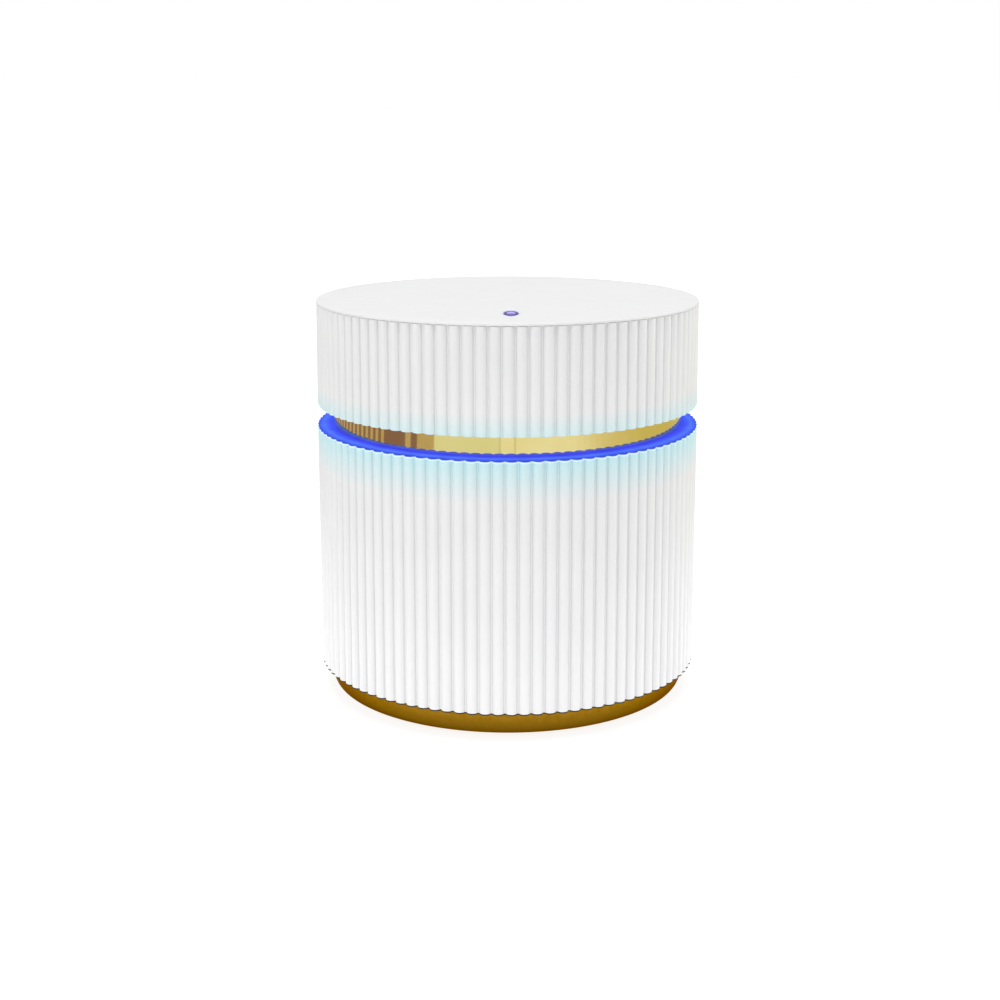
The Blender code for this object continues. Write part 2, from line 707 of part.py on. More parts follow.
def add_contacts(builder, name, x):
    """Eight spring wires on one strip, leaning up towards the back of the socket."""
    outline = [(WIRE_STRIP_HALF, -WIRE_STRIP_DEPTH), (WIRE_STRIP_HALF, 0.0)]
    for wire in range(WIRE_COUNT):
        across = ((WIRE_COUNT - 1) / 2 - wire) * WIRE_PITCH
        outline += [(across + WIRE_HALF, 0.0), (across + WIRE_HALF, WIRE_REACH),
                    (across - WIRE_HALF, WIRE_REACH), (across - WIRE_HALF, 0.0)]
    outline += [(-WIRE_STRIP_HALF, 0.0), (-WIRE_STRIP_HALF, -WIRE_STRIP_DEPTH)]
    comb = extruded(f"{name}_contacts", [outline], -WIRE_HALF_THICKNESS, WIRE_HALF_THICKNESS)
    comb.location = metres((x, PORT_FRONT - WIRE_BACK, PORT_FLOOR + WIRE_RISE))
    comb.rotation_euler = (math.radians(WIRE_LEAN), 0.0, 0.0)
    builder.add(comb, "contact")


def build_sockets(builder):
    for name, x in (("wan", WAN_X), ("lan", LAN_X)):
        add_network_socket(builder, name, x)
        add_contacts(builder, name, x)
    width, depth, height = JACK_SIZE
    spot = (JACK_X, BOARD_STAND + height / 2)
    bore_end = PORT_FRONT - JACK_DEPTH
    jack = box("power_jack", (JACK_X - width / 2, PORT_FRONT - depth, BOARD_STAND),
               (JACK_X + width / 2, PORT_FRONT, BOARD_STAND + height), bevel=0.3)
    builder.add(jack, "black")
    builder.cut(jack, cylinder(
        "jack_bore", JACK_BORE, bore_end, PORT_FRONT + CUT_MARGIN, spot, along_y=True))
    builder.add(cylinder(
        "power_pin", PIN_RADIUS, bore_end + GAP, PORT_FRONT - 1.2, spot, 16, along_y=True), "contact")


def add_button(builder, label, x, front, radius, flange_radius):
    """Push button with its stem, the switch plunger that moves with it, and the fixed switch."""
    spot = (x, BUTTON_Z)
    flange_front = PANEL_BACK - GAP
    flange_back = flange_front - 1.0
    stem_end = SWITCH_FRONT + BUTTON_TRAVEL + GAP
    chamfer = 0.2
    builder.add(turned(f"{label}_button", [
        (0.0, front), (radius - chamfer, front), (radius, front - chamfer), (radius, flange_front),
        (flange_radius, flange_front), (flange_radius, flange_back), (STEM_RADIUS, flange_back),
        (STEM_RADIUS, stem_end), (0.0, stem_end)], 20, spot, PANEL_BACK, along_y=True), "white")
    builder.add(cylinder(
        f"{label}_plunger", PLUNGER_RADIUS, SWITCH_FRONT - 1.9, stem_end - GAP, spot, 12,
        along_y=True), "black")
    switch_bottom = BOARD_STAND + PORT_SIZE[2] + BUTTON_BOARD_THICKNESS + 2 * GAP
    switch = box(f"{label}_switch", (x - SWITCH_HALF, SWITCH_FRONT - SWITCH_DEPTH, switch_bottom),
                 (x + SWITCH_HALF, SWITCH_FRONT, 2 * BUTTON_Z - switch_bottom), bevel=0.3)
    builder.add(switch, "grey")
    builder.cut(switch, cylinder(
        f"{label}_switch_bore", SWITCH_BORE, SWITCH_FRONT - 3.0, SWITCH_FRONT + CUT_MARGIN, spot,
        16, along_y=True))


def build_buttons(builder):
    board_bottom = BOARD_STAND + PORT_SIZE[2] + GAP
    board_top = board_bottom + BUTTON_BOARD_THICKNESS
    builder.add(box("button_board", (*BUTTON_BOARD_LOW, board_bottom), (*BUTTON_BOARD_HIGH, board_top)),
                "board")
    add_button(builder, "wps", WPS_X, PANEL_FACE + 1.1, WPS_RADIUS, 4.2)
    add_button(builder, "reset", RESET_X, PANEL_FACE - 0.5, RESET_RADIUS, 2.2)


# ---------------------------------------------------------------- electronics

def build_main_board(builder):
    spots = circle_of(STANDOFF_CIRCLE, STANDOFF_ANGLES)
    board = cylinder("main_board", BOARD_RADIUS, BOARD_BOTTOM, BOARD_TOP, (0.0, 0.0), 64)
    builder.add(board, "board")
    builder.cut(board, cylinders(
        "board_holes", BOARD_SCREW_SHANK + GAP, BOARD_BOTTOM - CUT_MARGIN, BOARD_TOP + CUT_MARGIN,
        spots, 12))
    for number, spot in enumerate(spots, 1):
        builder.add(screw(
            f"board_screw_{number}", spot, BOARD_STAND, (2.4, 1.5), BOARD_SCREW_SHANK,
            BOARD_SCREW_LENGTH, upwards=False), "steel")

    stand = BOARD_STAND
    processor_top = stand + PROCESSOR_HEIGHT
    builder.add(package("processor", PROCESSOR, stand, processor_top), "black")
    builder.add(package("heat_pad", PROCESSOR, processor_top + GAP, SINK_BOTTOM - GAP), "pad")
    builder.add(heat_sink(), "aluminium")
    for number, corners in enumerate(SHIELDS, 1):
        builder.add(package(
            f"radio_shield_{number}", corners, stand, stand + SHIELD_HEIGHT, PACKAGE_EDGE), "steel")
    builder.add(package(
        "network_transformer", TRANSFORMER, stand, stand + TRANSFORMER_HEIGHT, PACKAGE_EDGE), "black")
    for number, spot in enumerate(CAPACITORS, 1):
        builder.add(cylinder(
            f"capacitor_{number}", CAPACITOR_RADIUS, stand, stand + CAPACITOR_HEIGHT, spot, 16), "black")


def package(name, corners, bottom, top, bevel=0.0):
    """Box over two corners in X and Y."""
    low, high = corners
    return box(name, (*low, bottom), (*high, top), bevel)


def heat_sink():
    """Upright fins on a plate, drawn as one comb and run from front to back."""
    pitch = (2 * SINK_HALF - FIN_THICKNESS) / (FIN_COUNT - 1)
    comb = []
    for fin in range(FIN_COUNT):
        right = SINK_HALF - fin * pitch
        left = right - FIN_THICKNESS
        comb += [(right, SINK_FLOOR), (right, SINK_TOP), (left, SINK_TOP), (left, SINK_FLOOR)]
    corners = [(-SINK_HALF, SINK_BOTTOM), (SINK_HALF, SINK_BOTTOM)]
    return extruded_along_y("heat_sink", corners + comb[1:-1], SINK_FRONT, SINK_BACK)


def build_antennas(builder):
    low = SPOOL_TOP + GAP
    feed = low + 4.0
    inner = ANTENNA_CIRCLE - ANTENNA_THICKNESS / 2 - GAP
    for number, angle in enumerate(ANTENNA_ANGLES, 1):
        size = (ANTENNA_LENGTH, ANTENNA_THICKNESS, ANTENNA_HEIGHT)
        place = (*polar(ANTENNA_CIRCLE, angle), low + ANTENNA_HEIGHT / 2)
        blade = blocks(f"antenna_{number}", size, [Matrix.Identity(4)], place)
        blade.rotation_euler = (0.0, 0.0, math.radians(angle - 90))
        builder.add(blade, "board")
        route = [(inner, feed), (CABLE_CIRCLE + 1.5, feed), (CABLE_CIRCLE, feed - 2.5),
                 (CABLE_CIRCLE, BOARD_STAND)]
        add_cable(builder, f"antenna_cable_{number}",
                  [(*polar(radius, angle), height) for radius, height in route])


def build_light_cables(builder):
    strip_bottom = SPOOL_BOTTOM + FLANGE_THICKNESS
    route = [(LED_CABLE_CIRCLE, strip_bottom), (LED_CABLE_CIRCLE, 62), (48.5, 58), (39, 46),
             (37, 40), (37, BOARD_STAND)]
    add_cable(builder, "led_cable",
              [(*polar(radius, LED_CABLE_ANGLE), height) for radius, height in route])
    x, y = LENS_PLACE
    under = STATUS_BOARD_TOP - STATUS_BOARD_THICKNESS - GAP - CABLE_RADIUS
    add_cable(builder, "status_cable", [
        (x + 4, y, under), (x + 9, y, under - 1), (14, y, under - 6), (14, y, BOARD_STAND)])


def add_cable(builder, name, points):
    curve = bpy.data.curves.new(name, "CURVE")
    curve.dimensions = "3D"
    curve.bevel_depth = CABLE_RADIUS * MM
    curve.bevel_resolution = 1
    curve.use_fill_caps = True
    spline = curve.splines.new("POLY")
    spline.points.add(len(points) - 1)
    for point, spot in zip(spline.points, points):
        point.co = (*metres(spot), 1.0)
    builder.add(bpy.data.objects.new(name, curve), "cable")


def main():
    empty_scene()
    builder = Builder()
    build_base(builder)
    build_lower_shell(builder)
    build_neck(builder)
    build_cap(builder)
    build_top(builder)
    build_port_panel(builder)
    build_sockets(builder)
    build_buttons(builder)
    build_main_board(builder)
    build_antennas(builder)
    build_light_cables(builder)


main()
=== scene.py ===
"""Looks of the wireless router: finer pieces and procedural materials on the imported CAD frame.

The front is -Y and the ports are at the back, +Y. Shapes are drawn in millimetres and turned into
metres as they become objects.
"""

import math

import bmesh
import bpy
from mathutils import Matrix, Vector


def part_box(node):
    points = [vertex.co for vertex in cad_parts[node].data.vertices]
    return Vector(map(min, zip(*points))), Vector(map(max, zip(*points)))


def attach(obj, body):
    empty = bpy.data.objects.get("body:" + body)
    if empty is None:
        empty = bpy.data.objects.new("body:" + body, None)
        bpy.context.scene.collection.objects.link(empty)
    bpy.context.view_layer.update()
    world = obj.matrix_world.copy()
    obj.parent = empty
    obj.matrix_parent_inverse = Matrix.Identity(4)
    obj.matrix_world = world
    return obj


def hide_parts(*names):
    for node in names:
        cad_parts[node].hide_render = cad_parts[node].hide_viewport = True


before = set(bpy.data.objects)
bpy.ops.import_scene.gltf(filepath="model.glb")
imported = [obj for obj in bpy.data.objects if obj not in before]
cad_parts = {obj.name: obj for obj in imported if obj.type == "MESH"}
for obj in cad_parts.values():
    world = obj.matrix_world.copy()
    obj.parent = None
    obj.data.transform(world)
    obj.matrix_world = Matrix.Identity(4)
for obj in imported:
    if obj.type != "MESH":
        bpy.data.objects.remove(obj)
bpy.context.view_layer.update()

MM = 0.001


def box_mm(node):
    """Lowest and highest corner of a CAD node, in millimetres."""
    low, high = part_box(node)
    return low / MM, high / MM


# Heights and radii of the outside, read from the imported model
SHELL_LOW, _ = box_mm("lower_shell")
CAP_LOW, CAP_HIGH = box_mm("upper_shell")
DISC_LOW, DISC_HIGH = box_mm("top_plate")
RING_LOW, RING_HIGH = box_mm("light_ring")
NECK_LOW, NECK_HIGH = box_mm("neck_band")
BASE_LOW, BASE_HIGH = box_mm("base_tray")
LENS_LOW, LENS_HIGH = box_mm("status_lens")
PANEL_LOW, _ = box_mm("port_panel")
BODY_RADIUS = DISC_HIGH.x
TOP = DISC_HIGH.z

# Edges sharper than this, in degrees, are left sharp in the shading
SHARP_ANGLE = 35.0

# Steps round a corner, sides of the large turned pieces, and how far cutting tools reach past the
# surface that they cut
CORNER_STEPS = 4
WINDOW_CORNER_STEPS = 6
ROUND_STEPS = 360
OVERCUT = 1.0
DEEP_OVERCUT = 2.0

# Light ring: a thin plate with a skirt, and the gap under it that it shines into
RING_THICKNESS = 0.45
RING_GAP = 0.12
RING_BORE = 50.9
RING_UNDER_EDGE = 0.1
RING_TOP_EDGE = 0.12
SKIRT_RADIUS = 51.6

# Fluted walls. The flute's flank drops with this power of the distance from its crest, and the
# phases turn the cap's and the body's flutes, as shares of one flute.
FLUTE_COUNT = 96
FLUTE_DEPTH = 1.1
FLUTE_STEPS = 16
FLUTE_POWER = 2.6
GROOVE_FLOOR = 0.3
GROOVE_RADIUS = BODY_RADIUS - FLUTE_DEPTH
UPPER_PHASE = 0.0
LOWER_PHASE = 0.25
WALL_TOP = RING_HIGH.z - RING_THICKNESS - RING_GAP
WALL_FOOT_GAP = 0.03
WALL_FOOT = SHELL_LOW.z + WALL_FOOT_GAP
WALL_BORE = 51.9
WALL_EDGE = 0.25
WALL_EDGE_STEPS = 3
CAP_LIP_BORE = 50.9
CAP_LIP = 1.8

# Dark strip between the body's flutes and the base, a painted shadow line
SHADOW_STRIP_INSET = 0.12
SHADOW_STRIP_CLEARANCE = 0.02

# Disc and status light; the light's dome is (radius, rise over the disc)
LIP_GAP = 0.12
PLUG_RADIUS = 51.5
DISC_EDGE = 0.2
DISC_UNDER_EDGE = 0.08
PLUG_EDGE = 0.3
DISC_RINGS = (10.0, 20.0, 30.0, 40.0, 50.0)
LENS_PLACE = Vector(((LENS_LOW.x + LENS_HIGH.x) / 2, (LENS_LOW.y + LENS_HIGH.y) / 2, TOP))
LENS_LENGTHENING = (LENS_HIGH.y - LENS_LOW.y) / (LENS_HIGH.x - LENS_LOW.x)
LENS_HOLE = 2.1
LENS_HOLE_EDGE = 0.08
LENS_DOME = ((0.0, 0.02), (0.5, 0.015), (1.0, 0.0), (1.5, -0.02), (1.85, -0.05), (1.98, -0.1),
             (2.03, -0.2))
LENS_RADIUS = 2.03
LENS_FLANGE_RADIUS = 3.0
LENS_FLANGE_THICKNESS = 1.4
LENS_STEPS = 64

# Neck and base
NECK_BORE = 49.3
BASE_TOP_RADIUS = 52.0
BASE_WAIST_RADIUS = 51.4
BASE_EDGE = 2.4
BASE_EDGE_STEPS = 10
BASE_STEPS = 256
BASE_FLOOR = 2.8
BASE_BORE = 49.6
SPIGOT_RADIUS = 51.5
SPIGOT_EDGE = 0.2
SHELF = 7.5
SHELF_EDGE = 0.15
VENT_COUNT = 20
VENT_CIRCLE = 22.0
VENT_HALF_LENGTH = 4.5
VENT_HALF_WIDTH = 0.9
VENT_ROUNDING = 0.85
VENT_CUT = (-1.0, 4.0)
FOOT_COUNT = 4
FOOT_RADIUS = 5.0
FOOT_EDGE = ((0.0, 0.0), (3.6, 0.0), (4.4, 0.06), (4.85, 0.25), (5.0, 0.5))
FOOT_STEPS = 48
POCKET_RADIUS = 5.3
POCKET_DEPTH = 1.6
SEAT_RADIUS = 3.1
SEAT_DEPTH = 6.0
SEAT_STEPS = 32

# Port recess, and the openings in its face
WINDOW_HALF = 25.0
WINDOW_LOW = 12.5
WINDOW_HIGH = 38.0
WINDOW_CORNER = 2.5
WINDOW_CUT_START = 20.0
TUB_RADIUS = 51.6
RIM_CORNER_STEPS = 8
LONG_SIDE = 10.0
LONG_SIDE_STEPS = 24
PANEL_FACE = 43.5
PANEL_CHAMFER = 0.6
OPENING_GAP = 0.3
OPENING_CORNER = 0.5
BUTTON_HOLES = (("wps_button", 3.3), ("reset_button", 1.15))
HOLE_CHAMFER = 0.3
HOLE_CUT = (40.0, 46.0)
HOLE_STEPS = 48

# Network sockets. The can's lip is (inset, distance behind the front, corner), the mouth is (half
# width, height over its floor) and a lamp is (share of its size, distance ahead of the face). The
# wires' path is (distance ahead of the front, height over the mouth's floor).
CAN_LIP = ((0.0, 0.12, 0.5), (0.12, 0.0, 0.4), (0.28, 0.0, 0.3), (0.4, 0.12, 0.25))
CAN_WALL = 0.4
INSERT_INSET = 0.45
INSERT_CORNER = 0.3
INSERT_START = 1.0
INSERT_SETBACK = 0.35
MOUTH_FLOOR = 1.4
MOUTH_DEPTH = 13.5
MOUTH_CORNER = 0.2
SMALL_CORNER_STEPS = 3
MOUTH_STEPS = ((5.9, 0.0), (5.9, 8.2), (3.2, 8.2), (3.2, 9.8), (1.8, 9.8), (1.8, 11.0))
LAMP_OFFSET = 5.7
LAMP_HALF = 1.15
LAMP_LOW = 8.85
LAMP_MIDDLE = 9.8
LAMP_HIGH = 10.75
LAMP_CORNER = 0.2
LAMP_POCKET = 1.2
LAMP_ROWS = ((0.94, -1.1), (0.94, -0.1), (0.8, 0.03))
WIRE_COUNT = 8
WIRE_RADIUS = 0.23
WIRE_BEVEL_STEPS = 3
WIRE_ORDER = 3
WIRE_PITCH = 1.02
WIRE_PATH = ((-11.6, 1.2), (-11.0, 1.3), (-9.6, 1.7), (-6.0, 3.4), (-4.4, 4.3), (-3.9, 4.2),
             (-3.6, 3.7))

# Power inlet: its edge is (inset, distance behind the front), its sleeve and pin are (radius, the
# same distance)
JACK_CORNER = 0.6
JACK_EDGE = ((0.0, 0.3), (0.09, 0.09), (0.3, 0.0))
JACK_BORE = 3.2
JACK_BORE_DEPTH = 10.5
JACK_BORE_CHAMFER = 0.5
JACK_STEPS = 64
SLEEVE = ((2.95, 10.2), (3.15, 10.2), (3.15, 0.9), (3.05, 0.8), (2.95, 0.9))
PIN_TIP = ((1.0, 0.5), (0.85, 0.15), (0.5, 0.0))
PIN_STEPS = 32

# Push buttons: the dome is (radius, distance behind the button's front)
WPS_DOME = ((0.0, 0.12), (1.2, 0.09), (2.2, 0.02), (2.6, 0.0), (2.85, 0.07), (3.0, 0.25))
WPS_COLLAR = 4.2
WPS_STEPS = 64
RESET_DOME = ((0.0, 0.0), (0.5, 0.03), (0.72, 0.12), (0.8, 0.3))
RESET_COLLAR = 2.2
RESET_STEPS = 40
COLLAR_FRONT = 41.7
COLLAR_BACK = 40.7
STEM_RADIUS = 1.5


# ---------------------------------------------------------------- shapes

def piece(name, shape, coats):
    """Object from a bmesh in millimetres, shaded smooth except over its sharp edges."""
    bmesh.ops.transform(shape, matrix=Matrix.Scale(MM, 4), verts=shape.verts)
    bmesh.ops.recalc_face_normals(shape, faces=shape.faces)
    for face in shape.faces:
        face.smooth = True
    mesh = bpy.data.meshes.new(name)
    shape.to_mesh(mesh)
    shape.free()
    mesh.set_sharp_from_angle(angle=math.radians(SHARP_ANGLE))
    for coat in coats:
        mesh.materials.append(coat)
    made = bpy.data.objects.new(name, mesh)
    bpy.context.scene.collection.objects.link(made)
    return made


def stand_for(made, slot, *nodes, body="housing"):
    """Lets a piece ride on a body in place of the CAD nodes that it stands for."""
    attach(made, body)
    if nodes:
        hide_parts(*nodes)


def skin(shape, rows, loop=True, coats=None):
    """Faces between neighbouring rows of points, each row closed on itself.

    A row of one point closes the surface there. Coats gives each strip its material's number.
    """
    made = [[shape.verts.new(point) for point in row] for row in rows]
    pairs = list(zip(made, made[1:]))
    if loop:
        pairs.append((made[-1], made[0]))
    for strip, (first, second) in enumerate(pairs):
        count = max(len(first), len(second))
        for index in range(count):
            following = (index + 1) % count
            corners = (first[index % len(first)], first[following % len(first)],
                       second[following % len(second)], second[index % len(second)])
            face = shape.faces.new(list(dict.fromkeys(corners)))
            face.material_index = coats[strip] if coats else 0
    return made


def stack(shape, rows):
    """Closed solid from rows of points, with a face over the first row and over the last."""
    made = skin(shape, rows, loop=False)
    shape.faces.new(made[0])
    shape.faces.new(made[-1])


def circle(radius, height, steps):
    """Row of points round the Z axis; a radius of nought gives one point."""
    if radius <= 0.0:
        return [Vector((0.0, 0.0, height))]
    turns = [2 * math.pi * step / steps for step in range(steps)]
    return [Vector((radius * math.cos(turn), radius * math.sin(turn), height)) for turn in turns]


def lathe(name, profile, steps, coats, place=None):
    """Turned piece from (radius, height) points; a profile that starts off the axis is a loop."""
    shape = bmesh.new()
    closed = profile[0][0] > 0.0
    skin(shape, [circle(radius, height, steps) for radius, height in profile], closed)
    if place:
        bmesh.ops.transform(shape, matrix=place, verts=shape.verts)
    return piece(name, shape, coats)


def softened(corners, steps=CORNER_STEPS, closed=True):
    """Outline through (x, y, reach) corners, each rounded that far before and after it."""
    points = []
    for index, (x, y, reach) in enumerate(corners):
        corner = Vector((x, y))
        if reach == 0.0 or (not closed and index in (0, len(corners) - 1)):
            points.append(corner)
            continue
        before = Vector(corners[index - 1][:2])
        after = Vector(corners[(index + 1) % len(corners)][:2])
        start = corner + (before - corner).normalized() * reach
        end = corner + (after - corner).normalized() * reach
        for step in range(steps + 1):
            share = step / steps
            points.append(start.lerp(corner, share).lerp(corner.lerp(end, share), share))
    return points


def rectangle(half_x, low, high, corner, steps=WINDOW_CORNER_STEPS):
    """Outline of a rectangle with rounded corners, with its middle at nought across."""
    return softened([(half_x, low, corner), (half_x, high, corner),
                     (-half_x, high, corner), (-half_x, low, corner)], steps)


def flute_outline(phase):
    """Convex ribs with steep shoulders and a narrow flat at the bottom of each groove."""
    half_chord = GROOVE_RADIUS * math.sin(math.pi / FLUTE_COUNT) - GROOVE_FLOOR / 2
    points = []
    for rib in range(FLUTE_COUNT):
        turn = Matrix.Rotation(-math.pi / 2 + (rib + phase) * 2 * math.pi / FLUTE_COUNT, 2)
        for step in range(FLUTE_STEPS + 1):
            across = math.sin(math.pi / 2 * (2 * step / FLUTE_STEPS - 1))
            drop = FLUTE_DEPTH * abs(across) ** FLUTE_POWER
            points.append(turn @ Vector((BODY_RADIUS - drop, half_chord * across)))
    return points


def fluted_row(outline, inset, height):
    """Row that follows a flute outline at a height, drawn in by the inset."""
    return [(spot - spot.normalized() * inset).to_3d() + Vector((0.0, 0.0, height))
            for spot in outline]


def round_row(outline, radius, height):
    """Round row with as many points as a flute outline, at the same angles."""
    return [(spot.normalized() * radius).to_3d() + Vector((0.0, 0.0, height)) for spot in outline]


def soft_edge(outline, height, way):
    """Rows that round the outer wall over to a flat end; way is 1 at a top and -1 at a bottom."""
    rows = []
    for step in range(WALL_EDGE_STEPS + 1):
        angle = math.pi / 2 * step / WALL_EDGE_STEPS
        rows.append(fluted_row(outline, WALL_EDGE * (1 - math.cos(angle)),
                               height - way * WALL_EDGE * (1 - math.sin(angle))))
    return rows


def standing(outline, depth, middle=0.0):
    """Outline stood up in X and Z at a depth along Y, moved sideways to its middle."""
    return [Vector((spot.x + middle, depth, spot.y)) for spot in outline]


def prism(outline, start, end, middle=0.0, name="cutter", coats=()):
    """Closed solid from an outline in X and Z, run along Y."""
    shape = bmesh.new()
    stack(shape, [standing(outline, depth, middle) for depth in (start, end)])
    return piece(name, shape, coats)


def carve(made, *cutters):
    """Cuts the tools out of a piece and removes them."""
    for cutter in cutters:
        step = made.modifiers.new("cut", "BOOLEAN")
        step.object = cutter
        step.operation = "DIFFERENCE"
        step.solver = "EXACT"
    graph = bpy.context.evaluated_depsgraph_get()
    mesh = bpy.data.meshes.new_from_object(made.evaluated_get(graph), depsgraph=graph)
    made.modifiers.clear()
    made.data = mesh
    mesh.set_sharp_from_angle(angle=math.radians(SHARP_ANGLE))
    for cutter in cutters:
        bpy.data.objects.remove(cutter, do_unlink=True)


def upright(low, high):
    """Moves a lathe's axis to the middle of a box."""
    return Matrix.Translation(((low.x + high.x) / 2, (low.y + high.y) / 2, 0.0))


def lying(low, high):
    """Turns a lathe's axis to run along +Y through the middle of a box."""
    middle = ((low.x + high.x) / 2, 0.0, (low.z + high.z) / 2)
    return Matrix.Translation(middle) @ Matrix.Rotation(-math.pi / 2, 4, "X")


# ---------------------------------------------------------------- materials

# Levels of a noise pattern between which a finish swings from one state to the other
SWING = (0.35, 0.65)
WIDE_SWING = (0.3, 0.7)


class Coat:
    """One procedural material: a Principled shader fed by patterns in the object's own space."""

    def __init__(self, name, colour, roughness, **sockets):
        self.material = bpy.data.materials.new(name)
        self.material.use_nodes = True
        self.tree = self.material.node_tree
        self.shader = self.tree.nodes["Principled BSDF"]
        self.shader.inputs["Base Color"].default_value = (*colour, 1.0)
        self.shader.inputs["Roughness"].default_value = roughness
        for socket, value in sockets.items():
            self.shader.inputs[socket.replace("_", " ")].default_value = value
        self.place = self.node("ShaderNodeTexCoord").outputs["Object"]

    def node(self, kind, inputs=None, **settings):
        made = self.tree.nodes.new(kind)
        for name, value in settings.items():
            setattr(made, name, value)
        for name, value in (inputs or {}).items():
            if isinstance(value, bpy.types.NodeSocket):
                self.tree.links.new(value, made.inputs[name])
            else:
                made.inputs[name].default_value = value
        return made

    def drive(self, socket, value):
        self.tree.links.new(value, self.shader.inputs[socket])

    def noise(self, size, detail=2.0, stretch=(1.0, 1.0, 1.0)):
        """Noise whose blotches are about size millimetres across."""
        mapped = self.node("ShaderNodeMapping", {"Vector": self.place, "Scale": stretch})
        return self.node("ShaderNodeTexNoise", {
            "Vector": mapped.outputs["Vector"], "Scale": 1.0 / (size * MM), "Detail": detail,
        }).outputs["Fac"]

    def span(self, value, low, high, first, last):
        """The value's range from low to high, turned into first to last."""
        return self.node("ShaderNodeMapRange", {
            "Value": value, "From Min": low, "From Max": high, "To Min": first, "To Max": last,
        }).outputs["Result"]

    def fade(self, value, low, high, first=0.0, last=1.0):
        """The value's range from low to high, in millimetres, turned into first to last."""
        return self.span(value, low * MM, high * MM, first, last)

    def patches(self, size, detail=2.0, low=SWING[0], high=SWING[1]):
        """Share that swings between 0 and 1 in blotches about size millimetres across."""
        return self.span(self.noise(size, detail), low, high, 0.0, 1.0)

    def depth(self):
        return self.node("ShaderNodeSeparateXYZ", {"Vector": self.place}).outputs["Y"]

    def height(self):
        return self.node("ShaderNodeSeparateXYZ", {"Vector": self.place}).outputs["Z"]

    def shift(self, vector, other, operation):
        made = self.node("ShaderNodeVectorMath", {0: vector, 1: other}, operation=operation)
        return made.outputs["Vector"]

    def length(self, vector):
        made = self.node("ShaderNodeVectorMath", {0: vector}, operation="LENGTH")
        return made.outputs["Value"]

    def away_from(self, spot, lengthening):
        """Distance from a point given in millimetres, shortened along Y where an oval is longer."""
        offset = self.shift(self.place, [value * MM for value in spot], "SUBTRACT")
        return self.length(self.shift(offset, (1.0, 1.0 / lengthening, 1.0), "MULTIPLY"))

    def off_axis(self):
        """Distance from the upright axis of the object."""
        return self.length(self.shift(self.place, (1.0, 1.0, 0.0), "MULTIPLY"))

    def blend(self, share, first, second, way="MIX"):
        """Mix of two colours, each a tuple or another node's colour."""
        made = self.node("ShaderNodeMix", {"Factor": share}, data_type="RGBA", blend_type=way)
        for socket, value in ((made.inputs[6], first), (made.inputs[7], second)):
            if isinstance(value, bpy.types.NodeSocket):
                self.tree.links.new(value, socket)
            else:
                socket.default_value = (*value, 1.0)
        return made.outputs[2]

    def grain(self, height, strength, depth):
        """Surface relief of the given depth in millimetres."""
        bump = self.node("ShaderNodeBump", {
            "Height": height, "Strength": strength, "Distance": depth * MM})
        self.drive("Normal", bump.outputs["Normal"])

    def maths(self, first, second, operation="ADD"):
        made = self.node("ShaderNodeMath", {0: first, 1: second}, operation=operation)
        return made.outputs["Value"]

    def roughen(self, size, low, high, stretch=(1.0, 1.0, 1.0)):
        """Roughness that drifts from low to high in patches about size millimetres across."""
        self.drive("Roughness", self.span(self.noise(size, 3.0, stretch), *WIDE_SWING, low, high))


# White plastic, and the size of the faint blotches that its flow in the mould leaves
WHITE = (0.80, 0.80, 0.80)
WHITE_SHADE = (0.788, 0.789, 0.793)
FLOW_SIZE = 14.0

# Painted shade dims the grooves' walls and floors by these shares, and painted light (emission)
# lifts the grooves. The shade thickens and ends, and the painted light fades, at these heights over
# the groove's floor.
GROOVE_WALL_SHADE = (0.86, 0.86, 0.87)
GROOVE_BOTTOM_SHADE = (0.97, 0.97, 0.98)
GROOVE_SHADE_THICKENS = (0.04, 0.12)
GROOVE_SHADE_ENDS = (0.3, 0.5)
PAINTED_GROOVE_LIGHT = 0.06
PAINTED_GROOVE_LIGHT_FADES = (0.15, 0.7)

# Painted glow: the ring's light painted into the colour of the walls next to it, and how far from
# their ends it reaches. The body's rim gets more painted glow, in colour and in emission, none and
# then all at these depths under its top.
GLOW_WALL = (0.54, 0.80, 0.84)
GLOW_WALL_REACH = 11.0
GLOW_CAP = (0.62, 0.79, 0.80)
GLOW_CAP_REACH = 6.0
GLOW_EDGE = (0.72, 0.92, 1.0)
GLOW_EDGE_BELOW = (0.45, 0.15)
PAINTED_EDGE_LIGHT = 0.2

# Painted glow of the status lens in the disc's colour, full and gone at these distances from its
# middle
BLOOM = (0.70, 0.71, 0.86)
BLOOM_FADES = (2.0, 3.2)

# Light of the ring at (radius, colour) steps: violet at its inner edge, palest along its middle
RING_STEPS = (
    (51.2, (0.035, 0.054, 0.58)), (51.9, (0.040, 0.072, 0.57)), (53.2, (0.058, 0.115, 0.60)),
    (54.0, (0.048, 0.095, 0.57)), (54.9, (0.036, 0.066, 0.50)),
)

# Lowest and highest strength of that light, on the ring's top and on its edge
RING_TOP_STRENGTH = (1.45, 1.75)
RING_EDGE_STRENGTH = (1.0, 1.2)

# Neck: its foot gets a painted reflection and glow of the ring, up to these heights over the ring
NECK_GOLD = ((0.80, 0.66, 0.27), (0.84, 0.71, 0.33))
NECK_FOOT_PAINTED_REFLECTION = (0.80, 0.56, 0.66)
NECK_FOOT_PAINTED_REFLECTION_RISE = (0.6, 1.0)
NECK_GLOW = (0.03, 0.05, 0.8, 1.0)
NECK_GLOW_STRENGTH = 0.25
NECK_GLOW_RISE = 1.1

# Base: painted shade, darker towards the table, and a painted highlight at its bottom edge, up to
# these heights over its underside
BASE_GOLD = ((0.245, 0.123, 0.0042), (0.29, 0.15, 0.010))
BASE_SHEEN = (0.6, 0.4, 0.1, 1.0)
BASE_PAINTED_SHADE = (0.17, 0.083, 0.003)
BASE_PAINTED_SHADE_RISE = (1.0, 5.0)
BASE_EDGE_HIGHLIGHT = (0.45, 0.28, 0.05)
BASE_EDGE_HIGHLIGHT_RISE = (0.25, 0.6)
